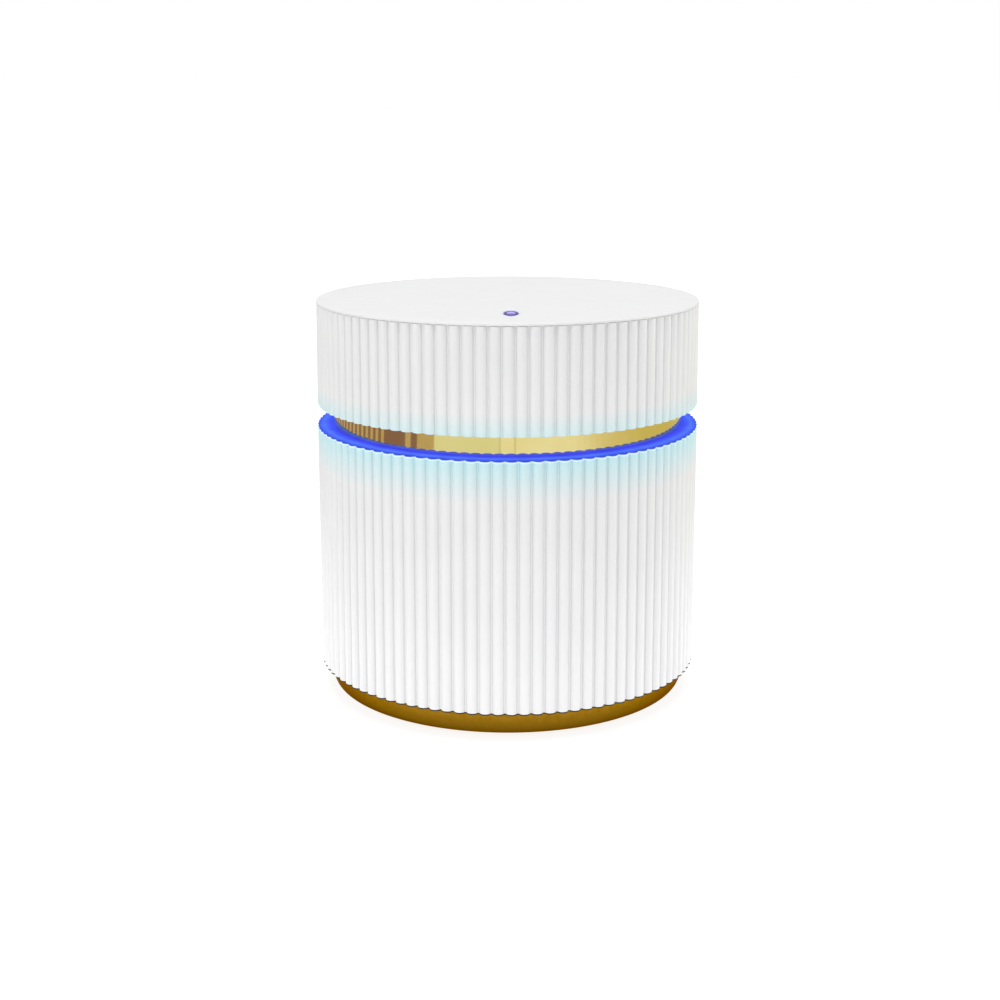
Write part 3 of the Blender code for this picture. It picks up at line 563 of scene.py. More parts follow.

# Status lens: its rim starts and is full at these distances from the middle, and its light has
# painted shade towards the front, growing between these places from the front to the back
LENS_TINT = (0.10, 0.09, 0.20)
LENS_TINT_RIM = (0.02, 0.018, 0.06)
LENS_PAINTED_SHADE_FRONT = (0.045, 0.035, 0.32)
LENS_LIT_BACK = (0.38, 0.35, 0.95)
LENS_LIT_RIM = (0.03, 0.022, 0.17)
LENS_RIM_FADES = (1.0, 1.35)
LENS_PAINTED_SHADE_FADES = (-1.5, 1.3)

# Speckled finishes: sizes of the flecks and of the gloss patches as multiples of the grain's, and
# the shares of the roughness that the gloss runs between. Then the circuit board's weave.
FLECK_SPREAD = 8.0
GLOSS_SPREAD = 4.0
GLOSS_RANGE = (0.8, 1.15)
WEAVE_SCALE = 700.0
WEAVE_DISTORTION = 0.6


def over(start, rises):
    """Places at the given rises over a start."""
    return [start + rise for rise in rises]


def white_plastic(name, painted_glow=None, grooved=False, edge=None, bloom=False):
    """Moulded satin plastic: fine spark texture, faint flow blotches and slightly uneven gloss.

    Its second argument is (height where it is full, height where it has faded, colour): painted
    glow, the ring's light painted into the wall's colour near its end. Grooved walls get painted
    shade on the walls and floors of their grooves and a little painted light in them. Edge is the
    height of a rim that gets painted glow of the ring. Bloom is a painted faint blue glow of the
    status light round its hole.
    """
    coat = Coat(name, WHITE, 0.38)
    colour = coat.blend(coat.patches(FLOW_SIZE), WHITE_SHADE, WHITE)
    # Painted glow of the ring in the wall's colour near its end
    if painted_glow:
        full, faded, glow = painted_glow
        colour = coat.blend(coat.fade(coat.height(), faded, full), colour, glow)
    if grooved:
        # Painted shade on the grooves' walls and floors, darkest low on the walls
        radius = coat.off_axis()
        groove_shade = coat.blend(coat.fade(radius, *over(GROOVE_RADIUS, GROOVE_SHADE_THICKENS)),
                          GROOVE_BOTTOM_SHADE, GROOVE_WALL_SHADE)
        groove_shade = coat.blend(coat.fade(radius, *over(GROOVE_RADIUS, GROOVE_SHADE_ENDS)), groove_shade, (1.0, 1.0, 1.0))
        colour = coat.blend(1.0, colour, groove_shade, "MULTIPLY")
        coat.shader.inputs["Emission Color"].default_value = (*WHITE, 1.0)
        # Painted light in the grooves: a faint emission that fades up their walls
        light = coat.fade(radius, *over(GROOVE_RADIUS, PAINTED_GROOVE_LIGHT_FADES), PAINTED_GROOVE_LIGHT, 0.0)
        if edge:
            # Painted glow of the ring along the body's top rim, in colour and in emission
            below, above = GLOW_EDGE_BELOW
            close = coat.fade(coat.height(), edge - below, edge - above)
            colour = coat.blend(close, colour, GLOW_EDGE)
            coat.drive("Emission Color", coat.blend(close, WHITE, GLOW_EDGE))
            light = coat.maths(light, coat.span(close, 0.0, 1.0, 0.0, PAINTED_EDGE_LIGHT))
        coat.drive("Emission Strength", light)
    if bloom:
        # Painted glow of the status light, a faint blue round its hole
        away = coat.away_from(LENS_PLACE, LENS_LENGTHENING)
        colour = coat.blend(coat.fade(away, *BLOOM_FADES), BLOOM, colour)
    coat.drive("Base Color", colour)
    coat.roughen(2.5, low=0.33, high=0.45)
    coat.grain(coat.noise(0.22, detail=4.0), strength=0.16, depth=0.02)
    return coat


def gold_trim():
    """Polished plated band with a faint rolled grain; its foot gets a painted reflection and glow
    of the ring.
    """
    coat = Coat("visual_gold_trim", NECK_GOLD[0], 0.06, Metallic=1.0)
    gold = coat.blend(coat.patches(9.0, 2.0, *WIDE_SWING), *NECK_GOLD)
    # Painted reflection of the ring in the colour of the band's foot
    foot = coat.fade(coat.height(), *over(RING_HIGH.z, NECK_FOOT_PAINTED_REFLECTION_RISE))
    coat.drive("Base Color", coat.blend(foot, NECK_FOOT_PAINTED_REFLECTION, gold))
    coat.roughen(1.2, low=0.03, high=0.09, stretch=(1.0, 1.0, 6.0))
    coat.grain(coat.noise(0.8, detail=2.0, stretch=(0.2, 0.2, 5.0)), strength=0.05, depth=0.01)
    # Painted glow of the ring on the band's foot, as emission
    coat.shader.inputs["Emission Color"].default_value = NECK_GLOW
    start, end = RING_HIGH.z, RING_HIGH.z + NECK_GLOW_RISE
    coat.drive("Emission Strength", coat.fade(coat.height(), start, end, NECK_GLOW_STRENGTH, 0.0))
    return coat


def base_gold():
    """Satin bronze-gold plating with a fine bead-blasted grain, painted shade towards the table and
    a painted highlight along its bottom edge.
    """
    coat = Coat("visual_base_gold", BASE_GOLD[0], 0.4, Metallic=1.0, Specular_Tint=BASE_SHEEN)
    colour = coat.blend(coat.patches(1.6, 4.0, *WIDE_SWING), *BASE_GOLD)
    # Painted shade: darker towards the table
    low = coat.fade(coat.height(), *over(BASE_LOW.z, BASE_PAINTED_SHADE_RISE))
    colour = coat.blend(low, BASE_PAINTED_SHADE, colour)
    # Painted highlight along the bottom edge
    edge_highlight = coat.fade(coat.height(), *over(BASE_LOW.z, BASE_EDGE_HIGHLIGHT_RISE))
    coat.drive("Base Color", coat.blend(edge_highlight, BASE_EDGE_HIGHLIGHT, colour))
    coat.roughen(0.9, low=0.34, high=0.46)
    coat.grain(coat.noise(0.18, detail=3.0), strength=0.35, depth=0.02)
    return coat


def ring_light(name, low, high):
    """Lit acrylic with a matt surface: blue light that drifts in strength along it, low to high."""
    coat = Coat(name, (0.004, 0.010, 0.08), 0.6, Specular_IOR_Level=0.0)
    radius = coat.off_axis()
    glow = RING_STEPS[0][1]
    for (inner, _), (outer, colour) in zip(RING_STEPS, RING_STEPS[1:]):
        glow = coat.blend(coat.fade(radius, inner, outer), glow, colour)
    coat.drive("Emission Color", glow)
    coat.drive("Emission Strength", coat.span(coat.noise(6.0), *SWING, low, high))
    coat.roughen(1.5, low=0.5, high=0.7)
    coat.grain(coat.noise(0.3, detail=2.0), strength=0.1, depth=0.01)
    return coat


def lens_blue():
    """Tinted dome, dark at its rim; its light has painted shade towards the front and is strongest
    towards the back.
    """
    coat = Coat("visual_lens", LENS_TINT, 0.3, Specular_IOR_Level=0.05)
    rim = coat.fade(coat.away_from(LENS_PLACE, LENS_LENGTHENING), *LENS_RIM_FADES)
    coat.drive("Base Color", coat.blend(rim, LENS_TINT, LENS_TINT_RIM))
    # Painted shade: the lens's light dims towards its front
    back = coat.fade(coat.depth(), *over(LENS_PLACE.y, LENS_PAINTED_SHADE_FADES))
    lit = coat.blend(back, LENS_PAINTED_SHADE_FRONT, LENS_LIT_BACK)
    coat.drive("Emission Color", coat.blend(rim, lit, LENS_LIT_RIM))
    coat.shader.inputs["Emission Strength"].default_value = 1.0
    coat.roughen(0.5, low=0.2, high=0.4)
    return coat


def speckled(name, colour, roughness, size=0.4, shade=0.8, depth=0.02, strength=0.25, **sockets):
    """A finish of one colour with darker flecks, uneven gloss and, given a strength, a grain."""
    coat = Coat(name, colour, roughness, **sockets)
    darker = tuple(value * shade for value in colour)
    coat.drive("Base Color", coat.blend(coat.patches(size * FLECK_SPREAD, 3.0), darker, colour))
    coat.roughen(size * GLOSS_SPREAD, *(roughness * share for share in GLOSS_RANGE))
    if strength > 0.0:
        coat.grain(coat.noise(size, 3.0), strength, depth)
    return coat


def circuit_board():
    """Green solder mask with the faint weave of the glass cloth under it."""
    coat = speckled("visual_circuit_board", (0.02, 0.16, 0.07), 0.35, strength=0.0)
    weave = coat.node("ShaderNodeTexWave", {
        "Vector": coat.place, "Scale": WEAVE_SCALE, "Distortion": WEAVE_DISTORTION},
        bands_direction="DIAGONAL")
    coat.grain(weave.outputs["Fac"], strength=0.2, depth=0.02)
    return coat


def make_coats():
    """Materials by the slot that they finish, and a few more for parts of the outside."""
    # Painted glow of the ring near the ends of the body's and the cap's walls
    wall_glow = (WALL_TOP, WALL_TOP - GLOW_WALL_REACH, GLOW_WALL)
    cap_glow = (CAP_LOW.z, CAP_LOW.z + GLOW_CAP_REACH, GLOW_CAP)
    coats = {
        "white_plastic": white_plastic("visual_white"),
        "white_lower": white_plastic("visual_white_lower", wall_glow, grooved=True, edge=WALL_TOP),
        "white_cap": white_plastic("visual_white_cap", cap_glow, grooved=True),
        "white_disc": white_plastic("visual_white_disc", bloom=True),
        "gold_trim": gold_trim(),
        "base_gold": base_gold(),
        "ring_light": ring_light("visual_ring_top", *RING_TOP_STRENGTH),
        "ring_edge": ring_light("visual_ring_edge", *RING_EDGE_STRENGTH),
        "lens": lens_blue(),
        # Dark strip of painted shadow between the flutes and the base
        "gasket": speckled("visual_gasket", (0.022, 0.012, 0.003), 0.7, depth=0.01),
        "rubber": speckled("visual_rubber", (0.035, 0.035, 0.037), 0.8, depth=0.05),
        "steel": speckled("visual_steel", (0.52, 0.52, 0.53), 0.32, Metallic=1.0),
        "socket_shield": speckled("visual_shield", (0.60, 0.60, 0.61), 0.3, Metallic=1.0),
        "contact_gold": speckled("visual_contact", (0.86, 0.63, 0.25), 0.22, shade=0.9,
                                 Metallic=1.0),
        "black_plastic": speckled("visual_black", (0.022, 0.022, 0.025), 0.42, depth=0.03),
        "grey_plastic": speckled("visual_grey", (0.40, 0.41, 0.43), 0.5),
        "circuit_board": circuit_board(),
        "aluminium": speckled("visual_aluminium", (0.62, 0.63, 0.65), 0.38, Metallic=1.0),
        "heat_pad_grey": speckled("visual_heat_pad", (0.32, 0.35, 0.42), 0.8, depth=0.05),
        "cable_black": speckled("visual_cable", (0.03, 0.03, 0.03), 0.55),
        "led_amber": speckled("visual_led_amber", (0.50, 0.22, 0.03), 0.3),
        "led_green": speckled("visual_led_green", (0.06, 0.36, 0.10), 0.3),
    }
    return {name: coat.material for name, coat in coats.items()}


# ---------------------------------------------------------------- outside

def make_shells(coats):
    """Fluted walls: the body's with the window for the ports, and the cap's with a lip inside."""
    outline = flute_outline(LOWER_PHASE)
    shape = bmesh.new()
    skin(shape, [round_row(outline, WALL_BORE, WALL_FOOT),
                 *reversed(soft_edge(outline, WALL_FOOT, -1)),
                 *soft_edge(outline, WALL_TOP, 1),
                 round_row(outline, WALL_BORE, WALL_TOP)])
    lower = piece("wall_lower", shape, [coats["white_lower"]])
    window = rectangle(WINDOW_HALF, WINDOW_LOW, WINDOW_HIGH, WINDOW_CORNER)
    carve(lower, prism(window, WINDOW_CUT_START, BODY_RADIUS + DEEP_OVERCUT))
    stand_for(lower, "white_plastic", "lower_shell")

    outline = flute_outline(UPPER_PHASE)
    shape = bmesh.new()
    skin(shape, [round_row(outline, CAP_LIP_BORE, CAP_LOW.z),
                 *reversed(soft_edge(outline, CAP_LOW.z, -1)),
                 *soft_edge(outline, CAP_HIGH.z, 1),
                 round_row(outline, WALL_BORE, CAP_HIGH.z),
                 round_row(outline, WALL_BORE, CAP_LOW.z + CAP_LIP),
                 round_row(outline, CAP_LIP_BORE, CAP_LOW.z + CAP_LIP)])
    stand_for(piece("wall_cap", shape, [coats["white_cap"]]), "white_plastic", "upper_shell")


def make_disc(coats):
    """Smooth top with its oval hole, and the flanged lens that fills the hole."""
    lip = CAP_HIGH.z + LIP_GAP
    rim = softened([(0.0, TOP, 0.0), (BODY_RADIUS, TOP, DISC_EDGE),
                    (BODY_RADIUS, lip, DISC_UNDER_EDGE), (PLUG_RADIUS, lip, 0.0),
                    (PLUG_RADIUS, DISC_LOW.z, PLUG_EDGE), (0.0, DISC_LOW.z, 0.0)], closed=False)
    rings = [(radius, TOP) for radius in DISC_RINGS]
    profile = [tuple(rim[0]), *rings, *(tuple(point) for point in rim[1:])]
    disc = lathe("disc_top", profile, ROUND_STEPS, [coats["white_disc"]])
    oval = (Matrix.Translation((LENS_PLACE.x, LENS_PLACE.y, 0.0))
            @ Matrix.Diagonal((1.0, LENS_LENGTHENING, 1.0, 1.0)))
    start, end = DISC_LOW.z - DEEP_OVERCUT, TOP + OVERCUT
    flare = LENS_HOLE + LENS_HOLE_EDGE
    hole = [(0.0, start), (LENS_HOLE, start), (LENS_HOLE, TOP - LENS_HOLE_EDGE), (flare, TOP),
            (flare, end), (0.0, end)]
    carve(disc, lathe("hole", hole, LENS_STEPS, [], oval))
    stand_for(disc, "white_plastic", "top_plate")

    flange = LENS_LOW.z + LENS_FLANGE_THICKNESS
    profile = [*((radius, TOP + rise) for radius, rise in LENS_DOME), (LENS_RADIUS, flange),
               (LENS_FLANGE_RADIUS, flange), (LENS_FLANGE_RADIUS, LENS_LOW.z), (0.0, LENS_LOW.z)]
    lens = lathe("lens", profile, LENS_STEPS, [coats["lens"]], oval)
    stand_for(lens, "ring_light", "status_lens")


def make_ring(coats):
    """Scalloped plate that lies in the gap, with a skirt down to the light packages."""
    outline = flute_outline(LOWER_PHASE)
    plate = RING_HIGH.z - RING_THICKNESS
    shape = bmesh.new()
    rows = [round_row(outline, RING_BORE, RING_LOW.z), round_row(outline, SKIRT_RADIUS, RING_LOW.z),
            round_row(outline, SKIRT_RADIUS, plate), fluted_row(outline, RING_UNDER_EDGE, plate),
            fluted_row(outline, 0.0, plate + RING_UNDER_EDGE),
            fluted_row(outline, 0.0, RING_HIGH.z - RING_TOP_EDGE),
            fluted_row(outline, RING_TOP_EDGE, RING_HIGH.z),
            round_row(outline, RING_BORE, RING_HIGH.z)]
    skin(shape, rows, coats=[0, 0, 1, 1, 1, 0, 0, 0])
    ring = piece("ring_glow", shape, [coats["ring_light"], coats["ring_edge"]])
    stand_for(ring, "ring_light", "light_ring")


def make_shadow_strip(coats):
    """Thin dark strip, a painted shadow line between the flutes and the base."""
    outline = flute_outline(LOWER_PHASE)
    low, high = SHELF + SHADOW_STRIP_CLEARANCE, WALL_FOOT - SHADOW_STRIP_CLEARANCE
    shape = bmesh.new()
    skin(shape, [round_row(outline, SKIRT_RADIUS, low), fluted_row(outline, SHADOW_STRIP_INSET, low),
                 fluted_row(outline, SHADOW_STRIP_INSET, high), round_row(outline, SKIRT_RADIUS, high)])
    stand_for(piece("shadow_strip_base", shape, [coats["gasket"]]), "rubber")


def make_neck(coats):
    """Plain polished band in the gap between the cap and the ring."""
    band = lathe("band_neck", [
        (NECK_BORE, NECK_LOW.z), (NECK_HIGH.x, NECK_LOW.z), (NECK_HIGH.x, NECK_HIGH.z),
        (NECK_BORE, NECK_HIGH.z)], ROUND_STEPS, [coats["gold_trim"]])
    stand_for(band, "gold_trim", "neck_band")


def make_base(coats):
    """Gold pan with vent slots, screw seats and pockets for the rubber feet, and the feet."""
    top = BASE_HIGH.z
    profile = softened([
        (0.0, BASE_FLOOR, 0.0), (BASE_BORE, BASE_FLOOR, 0.0), (BASE_BORE, top, 0.0),
        (SPIGOT_RADIUS, top, SPIGOT_EDGE), (SPIGOT_RADIUS, SHELF, 0.0),
        (BASE_TOP_RADIUS, SHELF, SHELF_EDGE), (BASE_WAIST_RADIUS, BASE_LOW.z, BASE_EDGE),
        (0.0, BASE_LOW.z, 0.0)], BASE_EDGE_STEPS, closed=False)
    base = lathe("pan_base", [tuple(point) for point in profile], BASE_STEPS, [coats["base_gold"]])
    across, along = VENT_HALF_WIDTH, VENT_HALF_LENGTH
    slot = softened([(along, across, VENT_ROUNDING), (-along, across, VENT_ROUNDING),
                     (-along, -across, VENT_ROUNDING), (along, -across, VENT_ROUNDING)])
    cutters = []
    for number in range(VENT_COUNT):
        turn = Matrix.Rotation(number * 2 * math.pi / VENT_COUNT, 4, "Z")
        shape = bmesh.new()
        stack(shape, [[turn @ Vector((VENT_CIRCLE + spot.x, spot.y, height)) for spot in slot]
                      for height in VENT_CUT])
        cutters.append(piece("vent", shape, []))
    for number in range(1, FOOT_COUNT + 1):
        low, high = box_mm(f"foot_{number}")
        centre = upright(low, high)
        pocket = [(0.0, -OVERCUT), (POCKET_RADIUS, -OVERCUT), (POCKET_RADIUS, POCKET_DEPTH),
                  (0.0, POCKET_DEPTH)]
        cutters.append(lathe("pocket", pocket, FOOT_STEPS, [], centre))
        foot = [*FOOT_EDGE, (FOOT_RADIUS, high.z), (0.0, high.z)]
        stand_for(lathe(f"pad_{number}", foot, FOOT_STEPS, [coats["rubber"]], centre),
                  "rubber", f"foot_{number}")
        seat = [(0.0, -OVERCUT), (SEAT_RADIUS, -OVERCUT), (SEAT_RADIUS, SEAT_DEPTH),
                (0.0, SEAT_DEPTH)]
        centre = upright(*box_mm(f"base_screw_{number}"))
        cutters.append(lathe("seat", seat, SEAT_STEPS, [], centre))
    carve(base, *cutters)
    stand_for(base, "base_gold", "base_tray")


# ---------------------------------------------------------------- rear panel, sockets and buttons

def make_panel(coats):
    """Recess behind the window, with rounded walls out to the shell and openings in its face."""

    def fine(outline):
        """Outline with its long sides cut into short steps, to follow the round shell."""
        points = []
        for spot, following in zip(outline, outline[1:] + outline[:1]):
            steps = LONG_SIDE_STEPS if (following - spot).length > LONG_SIDE else 1
            points.extend(spot.lerp(following, step / steps) for step in range(steps))
        return points

    def window(grown):
        """Outline of the window, grown on all sides."""
        return fine(rectangle(WINDOW_HALF + grown, WINDOW_LOW - grown, WINDOW_HIGH + grown,
                              WINDOW_CORNER + grown, RIM_CORNER_STEPS))

    def at_rim(outline):
        """Outline stood up on the inside of the round shell."""
        return [Vector((spot.x, math.sqrt(TUB_RADIUS ** 2 - spot.x ** 2), spot.y))
                for spot in outline]

    outer = window(WINDOW_LOW - PANEL_LOW.z)
    inner = window(0.0)
    floor = window(-PANEL_CHAMFER)
    shape = bmesh.new()
    stack(shape, [standing(outer, PANEL_LOW.y), at_rim(outer), at_rim(inner),
                  standing(inner, PANEL_FACE + PANEL_CHAMFER), standing(floor, PANEL_FACE)])
    panel = piece("panel_ports", shape, [coats["white_plastic"]])
    cutters = []
    for node in ("wan_port", "lan_port", "power_jack"):
        low, high = box_mm(node)
        opening = rectangle((high.x - low.x) / 2 + OPENING_GAP, low.z - OPENING_GAP,
                            high.z + OPENING_GAP, OPENING_CORNER)
        cutters.append(prism(opening, PANEL_LOW.y - OVERCUT, PANEL_FACE + OVERCUT,
                             (low.x + high.x) / 2))
    start, end = HOLE_CUT
    for node, radius in BUTTON_HOLES:
        flare = radius + HOLE_CHAMFER
        profile = [(0.0, start), (radius, start), (radius, PANEL_FACE - HOLE_CHAMFER),
                   (flare, PANEL_FACE), (flare, end), (0.0, end)]
        cutters.append(lathe("hole", profile, HOLE_STEPS, [], lying(*box_mm(node))))
    carve(panel, *cutters)
    stand_for(panel, "white_plastic", "port_panel")


def make_socket(name, coats):
    """Network socket: metal can, black insert with a stepped mouth, and two light windows."""
    low, high = box_mm(f"{name}_port")
    middle = (low.x + high.x) / 2
    half = (high.x - low.x) / 2
    front = high.y

    def row(inset, depth, corner):
        outline = rectangle(half - inset, low.z + inset, high.z - inset, corner)
        return standing(outline, depth, middle)

    outer_corner, inner_corner = CAN_LIP[0][2], CAN_LIP[-1][2]
    shape = bmesh.new()
    stack(shape, [row(0.0, low.y, outer_corner),
                  *(row(inset, front - behind, corner) for inset, behind, corner in CAN_LIP),
                  row(CAN_WALL, low.y + CAN_WALL, inner_corner)])
    can = piece(f"{name}_can", shape, [coats["socket_shield"]])
    stand_for(can, "socket_shield", f"{name}_port")

    floor = low.z + MOUTH_FLOOR
    face = front - INSERT_SETBACK
    block = rectangle(half - INSERT_INSET, low.z + INSERT_INSET, high.z - INSERT_INSET,
                      INSERT_CORNER)
    insert = prism(block, low.y + INSERT_START, face, middle, f"{name}_insert",
                   [coats["black_plastic"]])
    right = [(middle + across, floor + up) for across, up in MOUTH_STEPS]
    left = [(middle - across, floor + up) for across, up in reversed(MOUTH_STEPS)]
    mouth = softened([(x, z, MOUTH_CORNER) for x, z in right + left], SMALL_CORNER_STEPS)
    window = rectangle(LAMP_HALF, floor + LAMP_LOW, floor + LAMP_HIGH, LAMP_CORNER,
                       SMALL_CORNER_STEPS)
    pockets = [prism(window, face - LAMP_POCKET, face + OVERCUT, middle + side * LAMP_OFFSET)
               for side in (-1, 1)]
    carve(insert, prism(mouth, front - MOUTH_DEPTH, front + OVERCUT), *pockets)
    stand_for(insert, "black_plastic")
    heart = Vector((0.0, floor + LAMP_MIDDLE))
    for side, word, colour in ((-1, "left", "led_green"), (1, "right", "led_amber")):
        shape = bmesh.new()
        stack(shape, [standing([heart + (spot - heart) * share for spot in window], face + ahead,
                               middle + side * LAMP_OFFSET) for share, ahead in LAMP_ROWS])
        stand_for(piece(f"{name}_lamp_{word}", shape, [coats[colour]]), "black_plastic")
    make_contacts(name, middle, floor, front, coats)


def make_contacts(name, middle, floor, front, coats):
    """Sprung wires that rise from the back of the mouth and lean forward over its floor."""
    curve = bpy.data.curves.new(f"{name}_wires", "CURVE")
    curve.dimensions = "3D"
    curve.bevel_depth = WIRE_RADIUS * MM
    curve.bevel_resolution = WIRE_BEVEL_STEPS
    curve.use_fill_caps = True
    for wire in range(WIRE_COUNT):
        across = middle + ((WIRE_COUNT - 1) / 2 - wire) * WIRE_PITCH
        spline = curve.splines.new("NURBS")
        spline.points.add(len(WIRE_PATH) - 1)
        spline.use_endpoint_u = True
        spline.order_u = WIRE_ORDER
        for point, (back, up) in zip(spline.points, WIRE_PATH):
            point.co = (across * MM, (front + back) * MM, (floor + up) * MM, 1.0)
    curve.materials.append(coats["contact_gold"])
    wires = bpy.data.objects.new(f"{name}_wires", curve)
    bpy.context.scene.collection.objects.link(wires)
    stand_for(wires, "contact_gold", f"{name}_contacts")


def make_jack(coats):
    """Power inlet: black body with a round bore, a metal sleeve in the bore and a centre pin."""
    low, high = box_mm("power_jack")
    middle = (low.x + high.x) / 2
    half = (high.x - low.x) / 2
    front = high.y
    axis = lying(low, high)

    def row(inset, depth):
        outline = rectangle(half - inset, low.z + inset, high.z - inset, JACK_CORNER)
        return standing(outline, depth, middle)

    shape = bmesh.new()
    stack(shape, [row(0.0, low.y), *(row(inset, front - behind) for inset, behind in JACK_EDGE)])
    body = piece("jack_body", shape, [coats["black_plastic"]])
    bottom, flare = front - JACK_BORE_DEPTH, JACK_BORE + JACK_BORE_CHAMFER
    bore = [(0.0, bottom), (JACK_BORE, bottom), (JACK_BORE, front - JACK_BORE_CHAMFER),
            (flare, front), (flare, front + OVERCUT), (0.0, front + OVERCUT)]
    carve(body, lathe("bore", bore, JACK_STEPS, [], axis))
    stand_for(body, "black_plastic", "power_jack")
    sleeve = [(radius, front - behind) for radius, behind in SLEEVE]
    stand_for(lathe("jack_sleeve", sleeve, JACK_STEPS, [coats["steel"]], axis), "steel")
    low, high = box_mm("power_pin")
    pin = [(0.0, low.y), (PIN_TIP[0][0], low.y),
           *((radius, high.y - behind) for radius, behind in PIN_TIP), (0.0, high.y)]
    stand_for(lathe("jack_pin", pin, PIN_STEPS, [coats["contact_gold"]], axis),
              "contact_gold", "power_pin")


def make_button(body, dome, collar, steps, coats):
    """Push button with a domed face, a collar behind the panel and a stem to its switch."""
    low, high = box_mm(f"{body}_button")
    edge = dome[-1][0]
    profile = [*((radius, high.y - behind) for radius, behind in dome), (edge, COLLAR_FRONT),
               (collar, COLLAR_FRONT), (collar, COLLAR_BACK), (STEM_RADIUS, COLLAR_BACK),
               (STEM_RADIUS, low.y), (0.0, low.y)]
    button = lathe(f"{body}_cap", profile, steps, [coats["white_plastic"]], lying(low, high))
    stand_for(button, "white_plastic", f"{body}_button", body=body)


def recoat_frame(coats):
    """Gives every CAD node that stays on show the procedural finish of its own slot."""
    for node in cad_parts.values():
        for index, old in enumerate(node.data.materials):
            node.data.materials[index] = coats[old.name.split(".")[0]]


# ---------------------------------------------------------------- studio

# Strength of the white surroundings where the camera doesn't look at them itself
AMBIENT = 0.60

# Lamps: name, place, point aimed at, width and length, all in metres, and power in watts
LAMPS = (
    ("overhead", (0.0, -0.1, 1.3), (0.0, 0.0, 0.0), (1.4, 1.4), 11.0),
    ("left", (-0.75, -0.55, 0.5), (0.0, 0.0, 0.06), (0.7, 0.9), 1.3),
    ("right_rim", (0.85, 0.30, 0.35), (0.0, 0.0, 0.06), (0.25, 0.8), 1.3),
)

# Camera: millimetres of lens and sensor, metres, and degrees that it looks down
CAMERA_SENSOR = 36.0
CAMERA_LENS = 60.28
CAMERA_SHIFT = -0.12
CAMERA_PLACE = (-0.00215, -0.4802, 0.1734)
CAMERA_DOWN = 9.95

# Cards that only the polished neck mirrors: ring on the table from near to far, colours, and
# (start, stop, colour) in degrees from the front to the right
CARD_NEAR = 230.0
CARD_FAR = 1500.0
CARD_HEIGHT = 0.5
CARD_STEP = 3.0
CARD_PALE = (0.94, 0.97, 0.94)
CARD_CREAM = (0.83, 0.88, 0.78)
CARD_WARM = (0.79, 0.73, 0.51)
CARD_AMBER = (0.71, 0.66, 0.38)
CARD_DEEP = (0.67, 0.60, 0.27)
CARD_BROWN = (0.28, 0.17, 0.18)
CARD_TAN = (0.58, 0.47, 0.33)
CARD_LINE = (0.62, 0.62, 0.52)
CARDS = (
    (-82.0, -65.0, CARD_BROWN), (-65.0, -61.0, CARD_TAN), (-61.0, -56.5, CARD_BROWN),
    (-56.5, -45.0, CARD_TAN), (-45.0, -5.0, CARD_CREAM), (-5.0, -4.3, CARD_LINE),
    (-4.3, 4.0, CARD_PALE), (4.0, 4.7, CARD_LINE), (4.7, 38.0, CARD_PALE),
    (97.0, 170.0, CARD_DEEP), (170.0, 209.0, CARD_PALE),
)
FADES = ((38.0, 63.0, CARD_PALE, CARD_WARM), (63.0, 79.0, CARD_WARM, CARD_AMBER),
         (79.0, 97.0, CARD_AMBER, CARD_DEEP))
FADE_STEPS = 6
STRIPES_START = -151.0
STRIPES_STOP = -82.0
STRIPE_COUNT = 14

# Floor: rings of its mesh, its colours far off and near the object, radii where its light changes,
# and how much light it sends up there
FLOOR_RINGS = (0.0, 200.0, 800.0, 9000.0)
FLOOR_STEPS = 96
FLOOR_COLOURS = ((0.92, 0.92, 0.925), (0.94, 0.94, 0.94))
FLOOR_NEAR_COLOUR = (0.25, 0.25, 0.25)
CONTACT_RADIUS = 56.0
SPILL_START = 68.0
SPILL_END = 105.0
NEAR_RADIUS = 120.0
FAR_RADIUS = 300.0
HORIZON_RADIUS = 900.0
FLOOR_CONTACT = 0.84
FLOOR_SPILL = 0.25
FLOOR_NEAR = 1.12
FLOOR_FAR = 0.10
FLOOR_SHOWN = 0.50


def make_floor():
    """Pale table, softly lit from below so that it stays bright up to the object."""
    coat = Coat("visual_floor", (0.93, 0.93, 0.93), 0.7)
    colour = coat.blend(coat.patches(60.0, 3.0, *WIDE_SWING), *FLOOR_COLOURS)
    radius = coat.off_axis()
    far = coat.fade(radius, NEAR_RADIUS, FAR_RADIUS)
    coat.drive("Base Color", coat.blend(far, FLOOR_NEAR_COLOUR, colour))
    dimming = FLOOR_CONTACT - FLOOR_NEAR - FLOOR_SPILL
    shade = coat.fade(radius, CONTACT_RADIUS, SPILL_START, dimming, 0.0)
    spill = coat.fade(radius, SPILL_START, SPILL_END, FLOOR_SPILL, 0.0)
    level = coat.fade(radius, NEAR_RADIUS, FAR_RADIUS, FLOOR_NEAR, FLOOR_FAR)
    horizon = coat.fade(radius, FAR_RADIUS, HORIZON_RADIUS, 0.0, FLOOR_SHOWN)
    seen = coat.node("ShaderNodeLightPath").outputs["Is Camera Ray"]
    shown = coat.maths(horizon, seen, "MULTIPLY")
    coat.shader.inputs["Emission Color"].default_value = (1.0, 1.0, 1.0, 1.0)
    coat.drive("Emission Strength", coat.maths(coat.maths(coat.maths(shade, spill), level), shown))
    shape = bmesh.new()
    skin(shape, [circle(ring, 0.0, FLOOR_STEPS) for ring in FLOOR_RINGS], loop=False)
    piece("floor", shape, [coat.material])


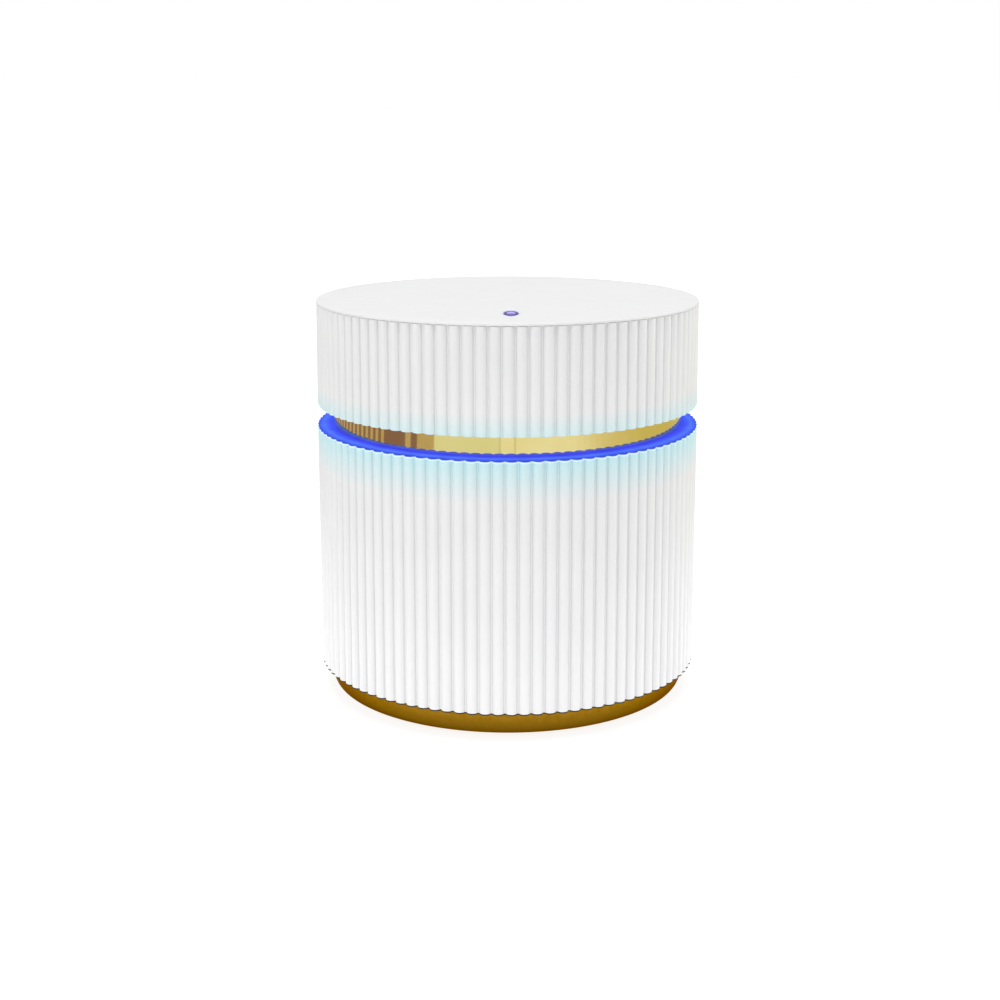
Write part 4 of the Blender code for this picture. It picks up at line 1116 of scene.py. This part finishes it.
def wedge(name, start, stop, colour):
    """Card over the table that only shows in reflections; it starts and stops at these angles."""
    coat = Coat("visual_" + name, (0.0, 0.0, 0.0), 1.0, Specular_IOR_Level=0.0)
    coat.shader.inputs["Emission Color"].default_value = (*colour, 1.0)
    coat.shader.inputs["Emission Strength"].default_value = 1.0
    steps = max(2, round(abs(stop - start) / CARD_STEP))
    shape = bmesh.new()
    rows = []
    for step in range(steps + 1):
        angle = math.radians(start + (stop - start) * step / steps)
        across, ahead = math.sin(angle), -math.cos(angle)
        rows.append([shape.verts.new((radius * across, radius * ahead, CARD_HEIGHT))
                     for radius in (CARD_NEAR, CARD_FAR)])
    for first, second in zip(rows, rows[1:]):
        shape.faces.new((first[0], first[1], second[1], second[0]))
    card = piece(name, shape, [coat.material])
    card.visible_camera = False
    card.visible_diffuse = False
    card.visible_transmission = False
    card.visible_shadow = False


def make_cards():
    """What the polished neck mirrors: pale ahead, brown and tan left, yellow to the right."""
    for number, (start, stop, colour) in enumerate(CARDS):
        wedge(f"card_{number}", start, stop, colour)
    for number, (start, stop, first, last) in enumerate(FADES):
        width = (stop - start) / FADE_STEPS
        for step in range(FADE_STEPS):
            share = (step + 0.5) / FADE_STEPS
            colour = tuple(a + (b - a) * share for a, b in zip(first, last))
            wedge(f"fade_{number}_{step}", start + step * width, start + (step + 1) * width, colour)
    half = (STRIPES_STOP - STRIPES_START) / STRIPE_COUNT / 2
    for stripe in range(STRIPE_COUNT):
        start = STRIPES_START + stripe * half * 2
        wedge(f"stripe_{stripe}", start, start + half, CARD_BROWN)
        wedge(f"stripe_light_{stripe}", start + half, start + half * 2, CARD_TAN)


def make_light(name, place, aim, size, energy):
    """Soft rectangular lamp that faces a point."""
    lamp = bpy.data.lights.new(name, "AREA")
    lamp.shape = "RECTANGLE"
    lamp.size, lamp.size_y = size
    lamp.energy = energy
    made = bpy.data.objects.new(name, lamp)
    made.location = place
    made.rotation_euler = (Vector(aim) - Vector(place)).to_track_quat("-Z", "Y").to_euler()
    bpy.context.scene.collection.objects.link(made)


def make_studio():
    """Plain white surroundings, with soft lamps over, to the left of and behind the object."""
    scene = bpy.context.scene
    scene.view_settings.view_transform = "Standard"
    world = bpy.data.worlds.new("studio")
    world.use_nodes = True
    tree = world.node_tree
    backdrop = tree.nodes["Background"]
    backdrop.inputs["Color"].default_value = (1.0, 1.0, 1.0, 1.0)
    seen = tree.nodes.new("ShaderNodeLightPath").outputs["Is Camera Ray"]
    level = tree.nodes.new("ShaderNodeMapRange")
    level.inputs["To Min"].default_value = AMBIENT
    level.inputs["To Max"].default_value = 1.0
    tree.links.new(seen, level.inputs["Value"])
    tree.links.new(level.outputs["Result"], backdrop.inputs["Strength"])
    scene.world = world
    make_floor()
    make_cards()
    for lamp in LAMPS:
        make_light(*lamp)


def make_camera():
    """View of the photo: from the front, a little above, with the frame moved down."""
    lens = bpy.data.cameras.new("camera")
    lens.sensor_width = CAMERA_SENSOR
    lens.lens = CAMERA_LENS
    lens.shift_y = CAMERA_SHIFT
    made = bpy.data.objects.new("camera", lens)
    made.location = CAMERA_PLACE
    made.rotation_euler = (math.radians(90.0 - CAMERA_DOWN), 0.0, 0.0)
    bpy.context.scene.collection.objects.link(made)
    bpy.context.scene.camera = made


def main():
    coats = make_coats()
    recoat_frame(coats)
    make_shells(coats)
    make_disc(coats)
    make_ring(coats)
    make_shadow_strip(coats)
    make_neck(coats)
    make_base(coats)
    make_panel(coats)
    for name in ("wan", "lan"):
        make_socket(name, coats)
    make_jack(coats)
    make_button("wps", WPS_DOME, WPS_COLLAR, WPS_STEPS, coats)
    make_button("reset", RESET_DOME, RESET_COLLAR, RESET_STEPS, coats)
    make_studio()
    make_camera()


main()
